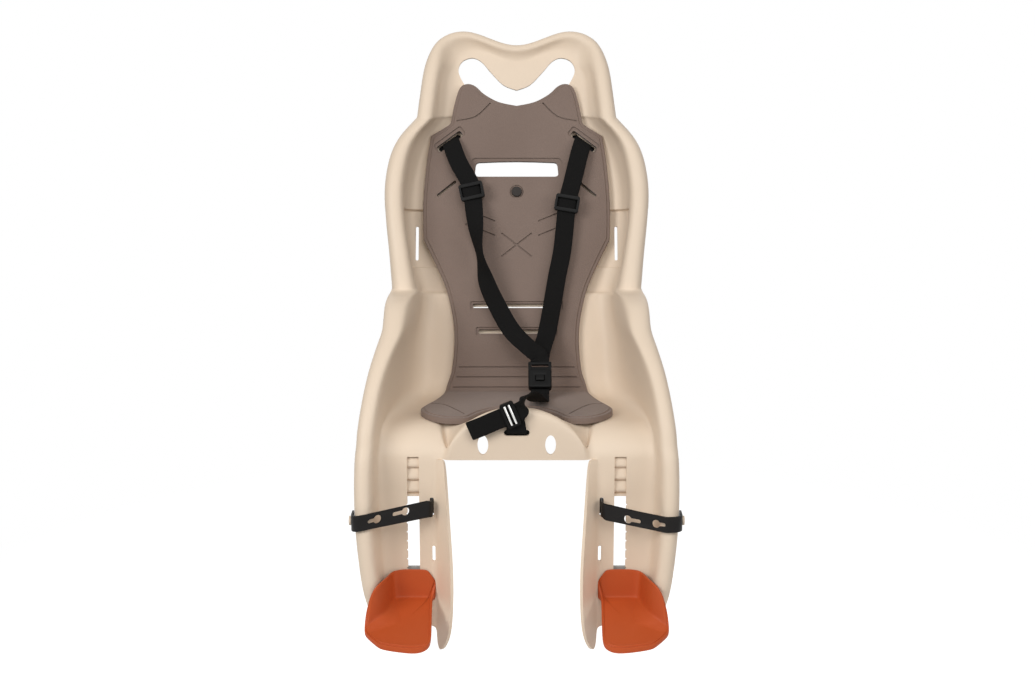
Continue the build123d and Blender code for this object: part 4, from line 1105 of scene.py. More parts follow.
    def front_openings(self, bm: bmesh.types.BMesh) -> None:
        """Add the cutters of the apron, the pan's bolt holes and the shin panels.

        Args:
            bm: The mesh that they are added to.
        """
        front = Matrix.Rotation(math.pi / 2, 4, "X")
        apron = Matrix.Translation((0, self.pommel.front_y * MM, 0)) @ front
        shin = Matrix.Translation((0, SHIN_Y * MM, 0)) @ front
        z, *slot = self.crotch_slot
        rounded_prism(bm, apron @ Matrix.Translation((0, z * MM, 0)), *slot, -20, 20)
        x, z, half_width, half_height = self.oval
        turns = [math.radians(10 * step) for step in range(36)]
        ellipse = [Vector((half_width * math.cos(t), half_height * math.sin(t))) for t in turns]
        for side in Side:
            place = apron @ Matrix.Translation((side.value * x * MM, z * MM, 0))
            outline_prism(bm, place, ellipse, -20, 20)
            for slot_x, slot_z, *slot in self.shin_slots:
                place = shin @ Matrix.Translation((side.value * slot_x * MM, slot_z * MM, 0))
                rounded_prism(bm, place, *slot, -8, 8)
            for bolt_x, bolt_y in self.bolts:
                place = Matrix.Translation((side.value * bolt_x * MM, bolt_y * MM, PAN_Z / 2 * MM))
                rounded_prism(bm, place, 6.6, 6.6, 3.2, -8, 8)

    def notches(self, bm: bmesh.types.BMesh) -> None:
        """Add the cutters of the notches down the outer edge of each footrest slot.

        Args:
            bm: The mesh that they are added to.
        """
        edge_x, top, pitch = 138.5, -94, 12
        shin = Matrix.Translation((0, SHIN_Y * MM, 0)) @ Matrix.Rotation(math.pi / 2, 4, "X")
        for side in Side:
            for step in range(9):
                at = Matrix.Translation((side.value * edge_x * MM, (top - pitch * step) * MM, 0))
                rounded_prism(bm, shin @ at, 3.2, 3.2, 1.5, -8, 8)

    def add_ratchets(self, bm: bmesh.types.BMesh) -> None:
        """Add the ribbed back of the pocket over each footrest slot.

        Args:
            bm: The mesh of the finished shell, in metres.
        """
        top, low, steps = -31.0, -80.0, 3
        pitch = (top - low) / steps
        ribs = []
        for step in range(steps):
            start = top - step * pitch
            ridge = ((6, start), (2.5, start - 0.7 * pitch), (6, start - pitch))
            ribs += smooth_line([Vector(p) for p in ridge], 5)
        outline = [Vector(p) for p in ((9, top + 3), (3, top + 3), (3, top + 0.2))] + ribs
        outline += [Vector(p) for p in ((3, low - 0.2), (3, low - 3), (9, low - 3))]
        for side in Side:
            at = Matrix.Translation((side.value * SLOT_X * MM, SHIN_Y * MM, 0))
            upright = at @ Matrix(((0, 0, 1, 0), (1, 0, 0, 0), (0, 1, 0, 0), (0, 0, 0, 1)))
            outline_prism(bm, upright, outline, -10.5, 10.5)

    def add_studs(self, bm: bmesh.types.BMesh) -> None:
        """Add the stud that holds each foot strap's end on the outside of the leg.

        Args:
            bm: The mesh of the finished shell, in metres.
        """
        y, z = self.stud
        for side in Side:
            turn = Matrix.Rotation(math.pi / 2 * side.value, 4, "Y")
            for radius, start, end in self.stud_parts:
                at = Matrix.Translation((side.value * (start + end) / 2 * MM, y * MM, z * MM))
                ring = bmesh.ops.create_cone(
                    bm, cap_ends=True, segments=32, radius1=radius * MM, radius2=radius * MM,
                    depth=(end - start) * MM, matrix=at @ turn,
                )["verts"]
                rims = {e for v in ring for e in v.link_edges if e.calc_face_angle(0) > 1}
                bmesh.ops.bevel(
                    bm, geom=list(rims), offset=0.0007, segments=3, profile=0.5, affect="EDGES", material=-1
                )

    def build(self) -> bpy.types.Object:
        """Make the shell: smooth sheet, ledges, thickness, openings, ratchets and studs.

        Returns:
            The finished shell.
        """
        sheet = self.sheet()
        self.add_blades(sheet)
        shell = new_object("shell", sheet)
        add_subdivision(shell, 2)
        apply_modifiers(shell)
        with reshaping(shell) as bm:
            self.press_ledges(bm)
        thickness = shell.modifiers.new("thickness", "SOLIDIFY")
        thickness.thickness = self.thick * MM
        thickness.offset = -1
        apply_modifiers(shell)
        for openings in (self.back_openings, self.front_openings, self.notches):
            cutter = bmesh.new()
            openings(cutter)
            cut_away(shell, cutter)
        with reshaping(shell) as bm:
            self.add_ratchets(bm)
            self.add_studs(bm)
        smooth_by_angle(shell, 40)
        dress(shell, CREAM, SEAT, "seat_shell")
        return shell


@dataclass
class Pad:
    """The foam pad: a flat moulding with a rounded edge, lines pressed in and a bend above the pan."""

    thick: float = 9.0
    ahead: float = 3.5
    bend_radius: float = 29.5
    bend_angle: float = math.radians(72.0)
    back_start: float = 2.3
    seat_start: float = 78.6
    groove: float = 2.0
    line: float = 2.5
    line_end: float = 0.9
    curve: float = 2.1
    # Height of the slab's straight edge, then steps inwards and upwards: the rounded edge, the border and the
    # step up to the face.
    edge_z: float = 6.3
    edge: tuple = ((0.35, 0.8), (0.75, 0.5), (3.0, 0.0), (0.3, 0.3), (0.4, 0.9), (0.3, 0.2))
    # Outline of the right half: across and up the backrest, then across and along the pan.
    ear: tuple = (
        (0, 400.5), (25, 406), (45, 417), (57, 428), (68, 431.5), (78.5, 426), (85.5, 405), (90.5, 379),
    )
    shoulder: tuple = ((90.5, 379), (94, 373), (118, 358))
    side: tuple = ((118, 358), (124, 320), (128.5, 264), (128, 213))
    waist: tuple = (
        (128, 213), (117, 191), (104, 163), (94.5, 138), (86.5, 100), (85, 68), (88, 34), (94, 12),
    )
    seat: tuple = (
        (100, 52), (109, 20), (120, -8), (124.5, -30), (114, -56), (93, -74), (70, -76), (60, -70),
    )
    notch: tuple = ((60, -70), (53, -56), (45, -42), (28, -25), (0, -17))
    # Right half of the window, about its middle, and the height of that middle.
    window: tuple = (
        (0, -10.2), (53, -10.2), (56, -9.4), (57.6, -7), (57.4, -3), (56.4, 6), (55, 8.8), (52, 9.9),
        (25, 11), (0, 11.4),
    )
    window_w: float = 310.8
    # Holes in the middle: place up the backrest, width, height and radius of the corners.
    middle_holes: tuple = ((279, 9, 9, 4.4), (121, 120, 6, 1.5), (85.5, 104, 6, 1.5))
    # Frames pressed in round them: the same, and how much shallower than the lines.
    middle_frames: tuple = (
        (312, 126, 29, 7, 0), (279, 19, 19, 9.4, 0.5), (121, 127, 12, 2, 0), (85.5, 111, 12, 2, 0),
    )
    # Slots at each side, and the frame of the upper one: across, up, turn, width, height and radius.
    side_holes: tuple = ((92.5, 350, -37, 41, 9, 3), (96.5, 283.5, -39, 33, 4, 1.8))
    side_frame: tuple = (92.5, 352, -37, 47, 15, 4)
    # Straight lines pressed into the backrest: middle, length and direction.
    whiskers: tuple = ((50, 246, 44, 22), (50, 226, 44, 22))
    # Height of the cross, the turn of its bars either way and their length.
    cross: tuple = (205, 38, 53)
    # Lines across the bend: place on the flat slab and half the length.
    bend_lines: tuple = ((34.0, 79), (20.5, 82), (0.5, 87))
    bend_line: float = 2.2
    # Curved lines of the right half: in the ear, up the backrest, and in front, along the pan.
    ear_line: tuple = ((83, 378.5), (57, 384.5), (36, 404))
    leaf_line: tuple = ((114, -4), (94, -10), (67, -58))

    def outline(self) -> list[Vector]:
        """Trace the pad laid out flat: across, and up from the middle of the bend.

        Returns:
            Its closed outline.
        """
        right = []
        for run in (self.ear, self.shoulder, self.side):
            right += smooth_line(self.lowered(run, self.back_start), 4)[:-1]
        bend = self.lowered(self.waist, self.back_start) + self.lowered(self.seat, self.seat_start)
        right += smooth_line(bend, 4)[:-1]
        right += smooth_line(self.lowered(self.notch, self.seat_start), 4)
        return mirrored(right)

    def lowered(self, run: tuple, start: float) -> list[Vector]:
        """Carry points of the backrest or the pan onto the flat slab.

        Args:
            run: The points: across, and up or along.
            start: Where the slab's middle is on that line.

        Returns:
            Their places.
        """
        return [Vector((x, y - start)) for x, y in run]

    def slab(self) -> bmesh.types.BMesh:
        """Raise the outline into a slab with a rounded edge and a low step along its border.

        Returns:
            The slab, lying flat.
        """
        bm = bmesh.new()
        outline_prism(bm, Matrix.Identity(4), self.outline(), 0, self.edge_z)
        top = max(bm.faces, key=lambda face: face.calc_center_median().z)
        for inwards, up in self.edge:
            bmesh.ops.inset_region(
                bm, faces=[top], thickness=inwards * MM, depth=up * MM,
                use_even_offset=True, use_boundary=True,
            )
        return bm

    def flat(self, x: float, w: float, turn: float = 0.0) -> Matrix:
        """Frame on the flat slab over a point of the backrest.

        Args:
            x: Place across.
            w: Height up the backrest.
            turn: Turn in the slab's plane, in degrees.

        Returns:
            The frame.
        """
        at = Matrix.Translation((x * MM, (w - self.back_start) * MM, 0))
        return at @ Matrix.Rotation(math.radians(turn), 4, "Z")

    def openings(self, bm: bmesh.types.BMesh) -> None:
        """Add the cutters of the window, the slots and the rivet's hole.

        Args:
            bm: The mesh that they are added to.
        """
        through = (-3, self.thick + 3)
        outline_prism(bm, self.flat(0, self.window_w), mirrored([Vector(p) for p in self.window]), *through)
        for w, *hole in self.middle_holes:
            rounded_prism(bm, self.flat(0, w), *hole, *through)
        for side in Side:
            for x, w, turn, *hole in self.side_holes:
                rounded_prism(bm, self.flat(side.value * x, w, turn * side.value), *hole, *through)

    def frames(self, bm: bmesh.types.BMesh) -> None:
        """Add the cutters of the shallow frames pressed in round the openings, and the cross's first bar.

        Args:
            bm: The mesh that they are added to.
        """
        low, top = self.thick - self.groove, self.thick + 3
        for w, width, height, radius, raised in self.middle_frames:
            rounded_prism(bm, self.flat(0, w), width, height, radius, low + raised, top)
        w, turn, length = self.cross
        rounded_prism(bm, self.flat(0, w, turn), length, self.line, self.line_end, low, top)
        for side in Side:
            x, w, turn, *size = self.side_frame
            rounded_prism(bm, self.flat(side.value * x, w, turn * side.value), *size, low, top)
            for x, w, length, turn in self.whiskers:
                place = self.flat(side.value * x, w, turn * side.value)
                rounded_prism(bm, place, length, self.line, self.line_end, low, top)

    def lines(self, bm: bmesh.types.BMesh) -> None:
        """Add the cutters of the cross's second bar, the ears, the bend lines and the leaves in front.

        Args:
            bm: The mesh that they are added to.
        """
        low, top = self.thick - self.groove, self.thick + 3
        w, turn, length = self.cross
        rounded_prism(bm, self.flat(0, w, -turn), length, self.line, self.line_end, low, top)
        for s, half in self.bend_lines:
            at = Matrix.Translation((0, s * MM, 0))
            rounded_prism(bm, at, 2 * half, self.bend_line, self.line_end, low, top)
        ear = self.lowered(self.ear_line, self.back_start)
        leaf = self.lowered(self.leaf_line, self.seat_start)
        for points in (ear, leaf):
            run = smooth_line(points, 6)
            for side in Side:
                band = band_outline([Vector((side.value * p.x, p.y)) for p in run], self.curve)
                outline_prism(bm, Matrix.Identity(4), band, low, top)

    def bent(self, flat: Vector) -> Vector:
        """Carry a point of the flat slab onto the backrest, the bend or the pan.

        Args:
            flat: The point on the slab, in metres.

        Returns:
            Its place in the seat, in metres.
        """
        x, s, h = flat / MM
        arc = self.bend_radius * self.bend_angle
        if s >= arc / 2:
            return BACK.point(x, s + self.back_start, self.ahead + h) * MM
        floor = PAN_Z + 0.5
        if s <= -arc / 2:
            return Vector((x, s + self.seat_start, floor + h)) * MM
        turn = (s + arc / 2) / self.bend_radius
        reach = self.bend_radius - h
        y = self.seat_start - arc / 2 + reach * math.sin(turn)
        z = floor + self.bend_radius - reach * math.cos(turn)
        return Vector((x, y, z)) * MM

    def build(self) -> bpy.types.Object:
        """Make the pad: slab, openings, pressed lines and bend.

        Returns:
            The finished pad.
        """
        pad = new_object("pad", self.slab())
        for cutters in (self.frames, self.lines, self.openings):
            cutter = bmesh.new()
            cutters(cutter)
            cut_away(pad, cutter)
        arc, steps = self.bend_radius * self.bend_angle, 12
        with reshaping(pad) as bm:
            for step in range(steps + 1):
                place = (0, (step / steps - 0.5) * arc * MM, 0)
                whole = list(bm.verts) + list(bm.edges) + list(bm.faces)
                bmesh.ops.bisect_plane(bm, geom=whole, dist=1e-6, plane_co=place, plane_no=(0, 1, 0))
            for vert in bm.verts:
                vert.co = self.bent(vert.co)
        smooth_by_angle(pad, 32)
        dress(pad, BROWN_FOAM, SEAT, "seat_pad")
        return pad


def band_outline(run: list[Vector], width: float) -> list[Vector]:
    """Trace a band of even width along a flat line.

    Args:
        run: Points of the line.
        width: Width of the band.

    Returns:
        Its closed outline.
    """
    sides = []
    for index, point in enumerate(run):
        ahead = run[min(index + 1, len(run) - 1)] - run[max(index - 1, 0)]
        sides.append(Vector((-ahead.y, ahead.x)).normalized() * width / 2)
    left = [p + s for p, s in zip(run, sides)]
    right = [p - s for p, s in zip(run, sides)]
    return left + right[::-1]


@dataclass(frozen=True)
class Crossing:
    """One point of a webbing's route: its middle and the direction across it."""

    middle: Vector
    across: Vector


def on_back(x: float, w: float, ahead: float, across: tuple) -> Crossing:
    """Make a crossing in front of the backrest.

    Args:
        x: Place across.
        w: Height up the backrest.
        ahead: Distance in front of it.
        across: Direction across the webbing, in the backrest's frame.

    Returns:
        The crossing.
    """
    turned = BACK.point(across[0], across[2], -across[1]) - BACK.point(0, 0, 0)
    return Crossing(BACK.point(x, w, ahead), turned)


@dataclass(frozen=True)
class BuckleFrame:
    """The tilted plane of the buckle, in millimetres."""

    middle: Vector = Vector((31, 32, 37))
    up: Vector = Vector((0, 0.643, 0.766))
    out: Vector = Vector((0, -0.766, 0.643))

    def crossing(self, x: float, y: float, ahead: float, across: tuple) -> Crossing:
        """Make a crossing in the buckle's plane.

        Args:
            x: Place across.
            y: Place up.
            ahead: Distance in front of the plane.
            across: Direction across the webbing, in the plane's frame.

        Returns:
            The crossing.
        """
        middle = self.middle + Vector((x, 0, 0)) + self.up * y + self.out * ahead
        turned = Vector((across[0], 0, 0)) + self.up * across[1] + self.out * across[2]
        return Crossing(middle, turned)


@dataclass
class Ribbon:
    """A length of flat webbing that follows its crossings."""

    name: str
    crossings: list[Crossing]
    nodes: tuple[str, ...]
    width: float = 25.0
    thick: float = 1.6
    steps: int = 6
    columns: int = 6

    def build(self) -> bpy.types.Object:
        """Make the webbing, with a UV map in metres for its weave.

        Returns:
            The finished webbing.
        """
        middles = smooth_line([c.middle for c in self.crossings], self.steps)
        sides = smooth_line([c.across.normalized() for c in self.crossings], self.steps)
        lengths = [0.0]
        for here, there in zip(middles, middles[1:]):
            lengths.append(lengths[-1] + (there - here).length)
        bm = bmesh.new()
        uv = bm.loops.layers.uv.new("UVMap")
        bmesh.ops.create_grid(bm, x_segments=self.columns, y_segments=len(middles) - 1, size=1)
        bm.verts.ensure_lookup_table()
        place = {}
        for vert in bm.verts:
            row, column = divmod(vert.index, self.columns + 1)
            share = column / self.columns
            ahead = middles[min(row + 1, len(middles) - 1)] - middles[max(row - 1, 0)]
            side = sides[row] - ahead * (sides[row].dot(ahead) / ahead.length_squared)
            vert.co = (middles[row] + side.normalized() * (share - 0.5) * self.width) * MM
            place[vert] = (share * self.width * MM, lengths[row] * MM)
        for face in bm.faces:
            for loop in face.loops:
                loop[uv].uv = place[loop.vert]
        ribbon = new_object(self.name, bm)
        thickness = ribbon.modifiers.new("thickness", "SOLIDIFY")
        thickness.thickness = self.thick * MM
        thickness.offset = 0
        thickness.use_even_offset = True
        add_subdivision(ribbon, 1)
        apply_modifiers(ribbon)
        smooth_by_angle(ribbon, 60)
        dress(ribbon, BLACK_WEBBING, SEAT, *self.nodes)
        return ribbon


@dataclass
class Harness:
    """The webbing of the harness: two shoulder straps, the crotch strap and its base."""

    buckle: BuckleFrame = BuckleFrame()
    slider: Vector = Vector((-8, -119.6, 28))
    run: Vector = Vector((-0.92, 0, -0.39))

    def left(self) -> list[Crossing]:
        """Lay the child's left shoulder strap, from its slot to the tongue.

        Returns:
            Its route.
        """
        plain = (1, 0, 0.1)
        rows = [
            (92.5, 350, -5, (0.81, 0, -0.56)), (92.5, 350, 8, (0.81, 0, -0.56)),
            (91, 346, 19, (0.87, 0, -0.46)), (85, 325, 24, (0.96, 0, -0.2)),
            (77, 292, 26, (0.98, 0, -0.1)), (69, 260, 26, (0.98, 0, 0.1)),
            (66, 229, 25, (1, 0, 0.08)), (62, 194, 24, plain), (55, 159, 24, plain), (48, 118, 24, plain),
            (41, 82, 25, plain),
        ]
        ends = [(3, 48, -2), (1, 37, -1.6), (0, 31, -1.4), (0, 26, -1.4)]
        return [on_back(*row) for row in rows] + [self.buckle.crossing(*end, (1, 0, 0)) for end in ends]

    def right(self) -> list[Crossing]:
        """Lay the right shoulder strap, which twists on its way to the tongue.

        Returns:
            Its route.
        """
        rows = [
            (-92.5, 350, -5, (0.81, 0, 0.56)), (-92.5, 350, 8, (0.81, 0, 0.56)),
            (-90, 345, 19, (0.88, 0, 0.44)), (-80, 318, 24, (0.96, 0, 0.3)),
            (-65.4, 291.5, 26, (0.95, 0, 0.3)), (-61.5, 277, 26, (0.95, 0, 0.3)),
            (-59.3, 262.5, 26.3, (0.95, 0, 0.3)), (-56, 230, 30, (0.85, -0.48, 0.2)),
            (-50, 188, 34, (0.35, -0.93, 0.1)), (-40, 148, 33, (0.88, -0.4, 0.3)),
            (-23, 112, 32, (0.85, -0.15, 0.5)), (-6, 83, 35, (0.84, 0, 0.5)),
        ]
        ends = [
            (-16, 47.5, 4.6, (0.87, 0.42, 0)), (-3.5, 37, 3.4, (0.96, 0.2, 0)), (0, 31, 1.5, (1, 0, 0)),
            (0, 26, 1.5, (1, 0, 0)),
        ]
        return [on_back(*row) for row in rows] + [self.buckle.crossing(*end) for end in ends]

    def crotch(self) -> list[Crossing]:
        """Lay the crotch strap, from the buckle down and round to its loose tail.

        Returns:
            Its route.
        """
        level = (-1, 0, 0)
        start = [self.buckle.crossing(0, -14, 0, level), self.buckle.crossing(0, -18, 0, level)]
        start.append(self.buckle.crossing(-0.3, -22, 0.3, level))
        middle = [
            ((30.5, 5, 17.5), (-1, 0.05, 0)), ((30, -16, 19.5), (-1, 0.1, 0)),
            ((26, -50, 30), (-1, 0.2, -0.1)), ((19.5, -84, 43.5), (-0.9, 0.35, -0.2)),
            ((13, -104, 49), (-0.75, 0.3, -0.5)), ((9, -116, 43), (-0.2, 0.3, -0.95)),
        ]
        turned = Vector((0.39, 0, -0.92))
        tail = [Crossing(self.slider + self.run * along_run, turned) for along_run in (-12, 0, 12, 22)]
        tail.append(Crossing(self.slider + self.run * 38 - Vector((0, 1.5, 0)), turned))
        tail.append(Crossing(self.slider + self.run * 56, turned))
        return start + [Crossing(Vector(at), Vector(across)) for at, across in middle] + tail

    def base(self) -> list[Crossing]:
        """Lay the short base that comes out of the apron up to the slider.

        Returns:
            Its route.
        """
        rows = [
            ((0, -104.5, 2), (1, 0, 0)), ((0, -112, 2), (1, 0, 0)), ((0, -114.2, 4.4), (1, 0, 0)),
            ((-1, -115, 12), (1, 0, 0.1)), ((-3, -115, 22), (1, 0, 0.15)),
        ]
        return [Crossing(Vector(at), Vector(across)) for at, across in rows]

    def build(self) -> None:
        """Make every length of webbing."""
        Ribbon("left_strap", self.left(), ("left_strap_upper", "left_strap_lower")).build()
        Ribbon("right_strap", self.right(), ("right_strap_upper", "right_strap_lower")).build()
        Ribbon("crotch_webbing", self.crotch(), ("crotch_strap", "crotch_strap_tail")).build()
        Ribbon("crotch_base_webbing", self.base(), ("crotch_base",)).build()


@dataclass(frozen=True)
class SoftenedPiece:
    """A copy of a CAD piece whose edges are rounded as moulding or wear leaves them."""

    node: str
    finish: Finish
    body: str = SEAT
    radius: float = 0.8
    segments: int = 3
    crease: float = 35.0
    # How far a foot strap bows down, between which places across, and how its bow leans inwards.
    sag: float = 0.0
    sag_span: tuple = (108.0, 203.0)
    sag_lean: float = 0.6

    def bow(self, bm: bmesh.types.BMesh) -> None:
        """Let a foot strap bow between its slot and its stud.

        Args:
            bm: The strap's mesh, in metres.
        """
        start, end = self.sag_span
        for vert in bm.verts:
            share = min(max((abs(vert.co.x) / MM - start) / (end - start), 0), 1)
            vert.co.z -= self.sag * MM * math.sin(math.pi * share**self.sag_lean)

    def build(self) -> bpy.types.Object:
        """Make the copy, with its edges rounded.

        Returns:
            The finished piece.
        """
        bm = bmesh.new()
        bm.from_mesh(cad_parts[self.node].data)
        bmesh.ops.remove_doubles(bm, verts=bm.verts, dist=1e-6)
        flat = math.radians(0.6)
        bmesh.ops.dissolve_limit(
            bm, angle_limit=flat, verts=bm.verts, edges=bm.edges, use_dissolve_boundaries=False
        )
        if self.sag:
            self.bow(bm)
        piece = new_object(self.node + "_soft", bm)
        rounding = piece.modifiers.new("edges", "BEVEL")
        rounding.width = self.radius * MM
        rounding.segments = self.segments
        rounding.limit_method = "ANGLE"
        rounding.angle_limit = math.radians(self.crease)
        rounding.miter_outer = "MITER_ARC"
        apply_modifiers(piece)
        smooth_by_angle(piece, 30)
        dress(piece, self.finish, self.body, self.node)
        return piece


@dataclass(frozen=True)
class Footrest:
    """A footrest: a scoop whose tall back wall runs round to the outside, on a neck in the shin's slot."""

    side: Side
    middle: Vector = Vector((140, -168, 0))
    thick: float = 3.0
    # Depth and height at which the sloping floor starts, and its slope.
    floor: tuple = (-112.0, -215.0, 0.272)
    # The neck's middle, its width, height and radius of the corners, and how far back it reaches.
    neck: Vector = Vector((SLOT_X, -107, -201))
    neck_size: tuple = (13, 30, 1)
    neck_reach: float = 7.3
    # Round the scoop from its inner front corner by the back: place of the outer top edge, place of the
    # crease at the wall's foot, and how far the underside lies below.
    columns: tuple = (
        (105, -196, -236.3, 108.2, -195, -237.6, 7), (106.3, -160, -226.6, 109.5, -160, -228, 4),
        (107.5, -124, -216.8, 110.7, -124, -218.3, 4), (107.3, -116, -213, 110.9, -116.5, -216.2, 4),
        (104.9, -110, -205, 111.2, -112.5, -215.2, 4), (103.3, -107, -196.5, 111.8, -112, -215, 4),
        (104, -106.5, -193.3, 112.8, -112, -215, 4), (112.6, -106, -181.3, 114.5, -112, -214.9, 4),
        (115.2, -106, -179.2, 116.5, -112, -214.8, 4), (129, -106, -178.4, 129, -112, -214.8, 4),
        (145.7, -106, -178.7, 144, -112, -214.5, 4), (156, -107, -180, 152.5, -113, -214.6, 4),
        (161.2, -112, -181.3, 157, -117.5, -214.6, 4), (163.6, -124, -180.6, 159, -129, -215.5, 4),
        (166.3, -139, -179.4, 162.5, -144, -217.5, 4), (171.3, -151.5, -180.4, 167.5, -156, -219.5, 4),
        (176, -157.5, -183.3, 172.5, -162.5, -222, 4), (179.8, -160.5, -188, 176.5, -166, -224, 4),
        (183, -162.5, -195.4, 180, -169, -226, 4), (185.5, -164, -203.7, 183, -172, -227.5, 4),
        (188.2, -167, -215, 185, -175, -229, 5), (189.4, -171, -226, 186.4, -178, -230.8, 6),
        (189.2, -178, -231.3, 186.4, -181, -232.4, 7), (188, -183.5, -233.8, 185, -183.5, -234, 7),
        (180, -193.5, -237.2, 177.5, -191.5, -236.6, 7), (171.5, -202, -240.5, 169.5, -199.5, -239, 7),
        (166.5, -205, -241.5, 165.3, -201.8, -239.6, 8), (148.9, -209, -242.4, 148.5, -205.4, -240.5, 8.5),
        (127.3, -212.4, -243.6, 128, -208.8, -241.4, 8.5), (115.3, -210.2, -242.8, 117.5, -207, -240.9, 8.5),
        (107.4, -204.6, -240, 110.6, -202, -239.5, 8),
    )

    def floor_z(self, y: float) -> float:
        """Read the height of the sloping floor.

        Args:
            y: Depth at which it is read.

        Returns:
            The height.
        """
        start_y, start_z, slope = self.floor
        return start_z + slope * (y - start_y)

    def section(self, index: int) -> list[Vector]:
        """Place one section: from the floor up the wall, over its edge and down to the underside.

        Args:
            index: Place of the section round the scoop.

        Returns:
            Its points.
        """
        row = self.columns[index]
        edge, crease = Vector(row[:3]), Vector(row[3:6])
        before, after = self.columns[index - 1], self.columns[(index + 1) % len(self.columns)]
        inwards = Vector((after[1] - before[1], before[0] - after[0], 0)).normalized()
        down = Vector((0, 0, -1))
        inner = crease.lerp(self.middle, 0.5)
        inner.z = self.floor_z(inner.y)
        toe = crease + inwards * 4
        toe.z += 0.25 * (self.floor_z(toe.y) - toe.z)
        wall = edge + inwards * self.thick
        low = Vector((edge.x, edge.y, min(crease.z, edge.z) - row[6]))
        return [
            inner, toe, crease + inwards, crease.lerp(wall, 0.06), crease.lerp(wall, 0.5),
            wall + down * 0.5, wall - inwards * 0.4, edge + inwards * 0.4, edge + down * 0.5,
            low - down * 1.5, low + inwards * 1.6, inner + down * 4,
        ]

    def build(self) -> bpy.types.Object:
        """Make the scoop and its neck.

        Returns:
            The finished footrest.
        """
        sections = [self.section(index) for index in range(len(self.columns))]
        bm = bmesh.new()
        mirror = self.side.value
        rings = [[bm.verts.new((mirror * p.x * MM, p.y * MM, p.z * MM)) for p in s] for s in sections]
        for here, there in zip(rings, rings[1:] + rings[:1]):
            for low, high in zip(range(len(here) - 1), range(1, len(here))):
                bm.faces.new((here[low], there[low], there[high], here[high]))
        for end in (0, -1):
            bm.faces.new([ring[end] for ring in rings])
        bmesh.ops.recalc_face_normals(bm, faces=bm.faces)
        name = f"{self.side.name.lower()}_footrest"
        scoop = new_object(name + "_scoop", bm)
        add_subdivision(scoop, 2)
        apply_modifiers(scoop)
        at = Matrix.Translation((mirror * self.neck.x * MM, self.neck.y * MM, self.neck.z * MM))
        with reshaping(scoop) as bm:
            front = at @ Matrix.Rotation(math.pi / 2, 4, "X")
            rounded_prism(bm, front, *self.neck_size, -self.neck_reach, 0)
        smooth_by_angle(scoop, 40)
        dress(scoop, TERRACOTTA, name, name)
        return scoop


@dataclass
class Fittings:
    """Everything that is moulded, pressed or bent: footrests, foot straps, adjusters, buckle and bars."""

    def footrests(self) -> list[SoftenedPiece]:
        """List the locks of the footrests and the rubber foot straps.

        Returns:
            The pieces.
        """
        pieces = []
        for side, sag in (("left", 5.0), ("right", -5.5)):
            body = f"{side}_footrest"
            pieces.append(SoftenedPiece(f"{side}_footrest_lock", GREY, body, 0.8))
            pieces.append(SoftenedPiece(f"{side}_foot_strap", BLACK_RUBBER, SEAT, 0.5, 2, 35.0, sag))
        return pieces

    def harness(self) -> list[SoftenedPiece]:
        """List the adjusters, anchors, buckle, slider and rivet.

        Returns:
            The pieces.
        """
        pieces = []
        for side in ("left", "right"):
            pieces.append(SoftenedPiece(f"{side}_adjuster", BLACK_PLASTIC, SEAT, 0.9))
            pieces.append(SoftenedPiece(f"{side}_strap_anchor", BLACK_PLASTIC, SEAT, 0.9))
        for node in ("buckle_tongue", "buckle_housing", "crotch_slider", "crotch_anchor"):
            pieces.append(SoftenedPiece(node, BLACK_PLASTIC, SEAT, 0.8))
        pieces.append(SoftenedPiece("buckle_button", BLACK_PLASTIC, "button", 0.6))
        for node in ("crotch_slider_bar_near", "crotch_slider_bar_far"):
            pieces.append(SoftenedPiece(node, BRIGHT_STEEL, SEAT, 0.2, 2))
        pieces.append(SoftenedPiece("pad_rivet", DARK_RIVET, SEAT, 0.5))
        return pieces

    def build(self) -> None:
        """Make every fitting."""
        for side in Side:
            Footrest(side).build()
        for piece in self.footrests() + self.harness():
            piece.build()


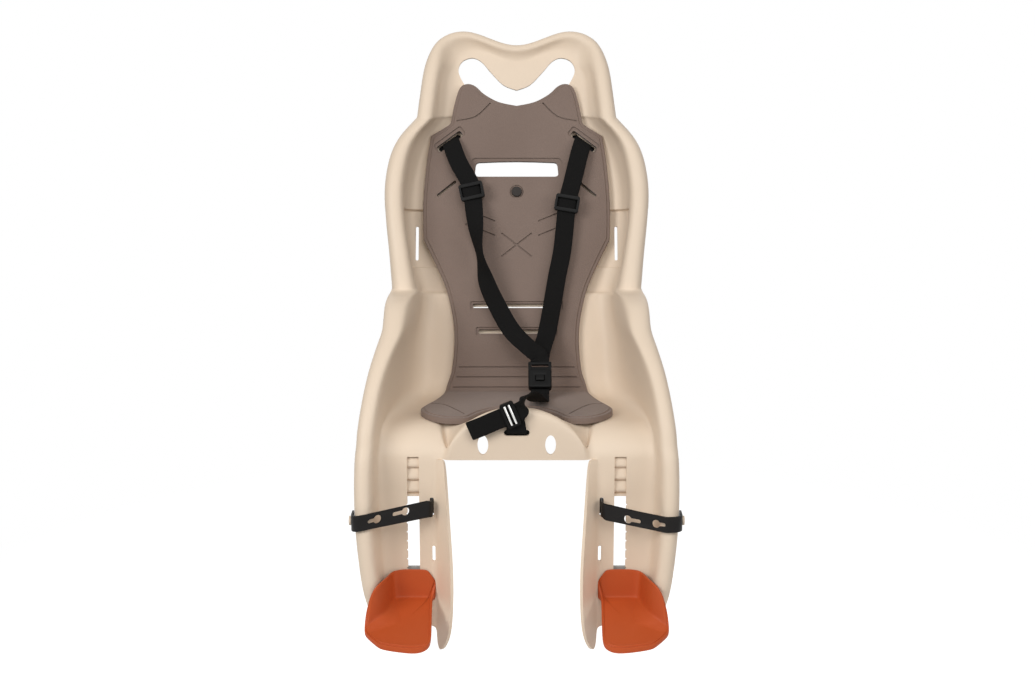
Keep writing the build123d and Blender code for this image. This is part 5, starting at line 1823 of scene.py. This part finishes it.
@dataclass
class Studio:
    """Camera, floor and soft light for the picture."""

    target: tuple[float, float, float] = (0.0011, 0.04, 0.08)
    distance: float = 2.2
    pitch: float = math.radians(12.0)
    swing: float = math.radians(-0.05)
    lens: float = 57.5
    floor_z: float = -0.292
    floor_size: float = 12.0
    floor_shade: tuple[float, float, float] = (0.9, 0.9, 0.9)
    world_strength: float = 0.27
    floor_glow: float = 0.7
    floor_fade: tuple[float, float] = (0.35, 0.9)
    # Place, size in metres and power in watts of each soft light.
    lamps: tuple = (
        ((-1.75, -1.85, 1.25), 1.3, 42.0),
        ((0.3, -1.9, 1.7), 1.5, 24.0),
        ((1.9, -1.5, 0.9), 1.4, 14.0),
    )

    def add_camera(self) -> None:
        """Look down at the seat from in front."""
        data = bpy.data.cameras.new("camera")
        data.lens = self.lens
        camera = bpy.data.objects.new("camera", data)
        level = math.cos(self.pitch)
        away = Vector((level * math.sin(self.swing), -level * math.cos(self.swing), math.sin(self.pitch)))
        camera.location = Vector(self.target) + away * self.distance
        camera.rotation_euler = (math.pi / 2 - self.pitch, 0, self.swing)
        bpy.context.scene.collection.objects.link(camera)
        bpy.context.scene.camera = camera

    def add_lamps(self) -> None:
        """Hang the soft lights and turn them to the seat."""
        for index, (place, size, power) in enumerate(self.lamps):
            data = bpy.data.lights.new(f"softbox_{index}", "AREA")
            data.energy = power
            data.size = size
            lamp = bpy.data.objects.new(data.name, data)
            lamp.location = place
            look = Vector(self.target) - Vector(place)
            lamp.rotation_euler = look.to_track_quat("-Z", "Y").to_euler()
            bpy.context.scene.collection.objects.link(lamp)

    def seen(self, tree: Tree, low: float, high: float) -> bpy.types.NodeSocket:
        """Give one value to what the camera sees, and another to the light that falls.

        Args:
            tree: Node tree of the world or the floor.
            low: Value for the light.
            high: Value for what is seen.

        Returns:
            The socket with that value.
        """
        path = tree.add("LightPath")
        seen = tree.math("MAXIMUM", path.outputs["Is Camera Ray"], path.outputs["Is Transmission Ray"])
        seen = tree.math("MAXIMUM", seen, path.outputs["Is Glossy Ray"])
        return tree.spread(seen, low, high)

    def add_world(self) -> None:
        """Surround the seat with an even light that looks white."""
        world = bpy.data.worlds.new("white room")
        world.use_nodes = True
        tree = Tree(world.node_tree)
        backdrop = world.node_tree.nodes["Background"]
        backdrop.inputs["Color"].default_value = (1, 1, 1, 1)
        tree.link(self.seen(tree, self.world_strength, 1.0), backdrop.inputs["Strength"])
        bpy.context.scene.world = world

    def add_floor(self) -> None:
        """Lay a wide pale floor that takes the seat's shadow."""
        bm = bmesh.new()
        level = Matrix.Translation((0, 0, self.floor_z))
        bmesh.ops.create_grid(bm, x_segments=1, y_segments=1, size=self.floor_size, matrix=level)
        floor = new_object("floor", bm)
        material = bpy.data.materials.new("pale floor")
        material.use_nodes = True
        tree = Tree(material.node_tree)
        shader = material.node_tree.nodes["Principled BSDF"]
        shader.inputs["Roughness"].default_value = 1.0
        shader.inputs["Specular IOR Level"].default_value = 0.0
        shader.inputs["Emission Color"].default_value = (1, 1, 1, 1)
        reach = tree.add("VectorMath", operation="LENGTH")
        tree.link(tree.add("TexCoord").outputs["Object"], reach.inputs[0])
        fade = tree.add("MapRange", interpolation_type="SMOOTHSTEP")
        tree.link(reach.outputs["Value"], fade.inputs["Value"])
        fade.inputs["From Min"].default_value = self.floor_fade[0]
        fade.inputs["From Max"].default_value = self.floor_fade[1]
        far = fade.outputs["Result"]
        tree.link(tree.blend(far, self.floor_shade, (0, 0, 0)), shader.inputs["Base Color"])
        glow = tree.spread(far, self.floor_glow, 1.0)
        tree.link(tree.math("MULTIPLY", self.seen(tree, 0.0, 1.0), glow), shader.inputs["Emission Strength"])
        floor.data.materials.append(material)

    def build(self) -> None:
        """Set up the whole studio."""
        bpy.context.scene.view_settings.view_transform = "Standard"
        self.add_camera()
        self.add_lamps()
        self.add_world()
        self.add_floor()


def main() -> None:
    """Build the seat piece by piece, then the studio."""
    logging.basicConfig(level=logging.INFO, format="%(message)s")
    Shell().build()
    Pad().build()
    Harness().build()
    Fittings().build()
    Studio().build()


if __name__ == "__main__":
    main()
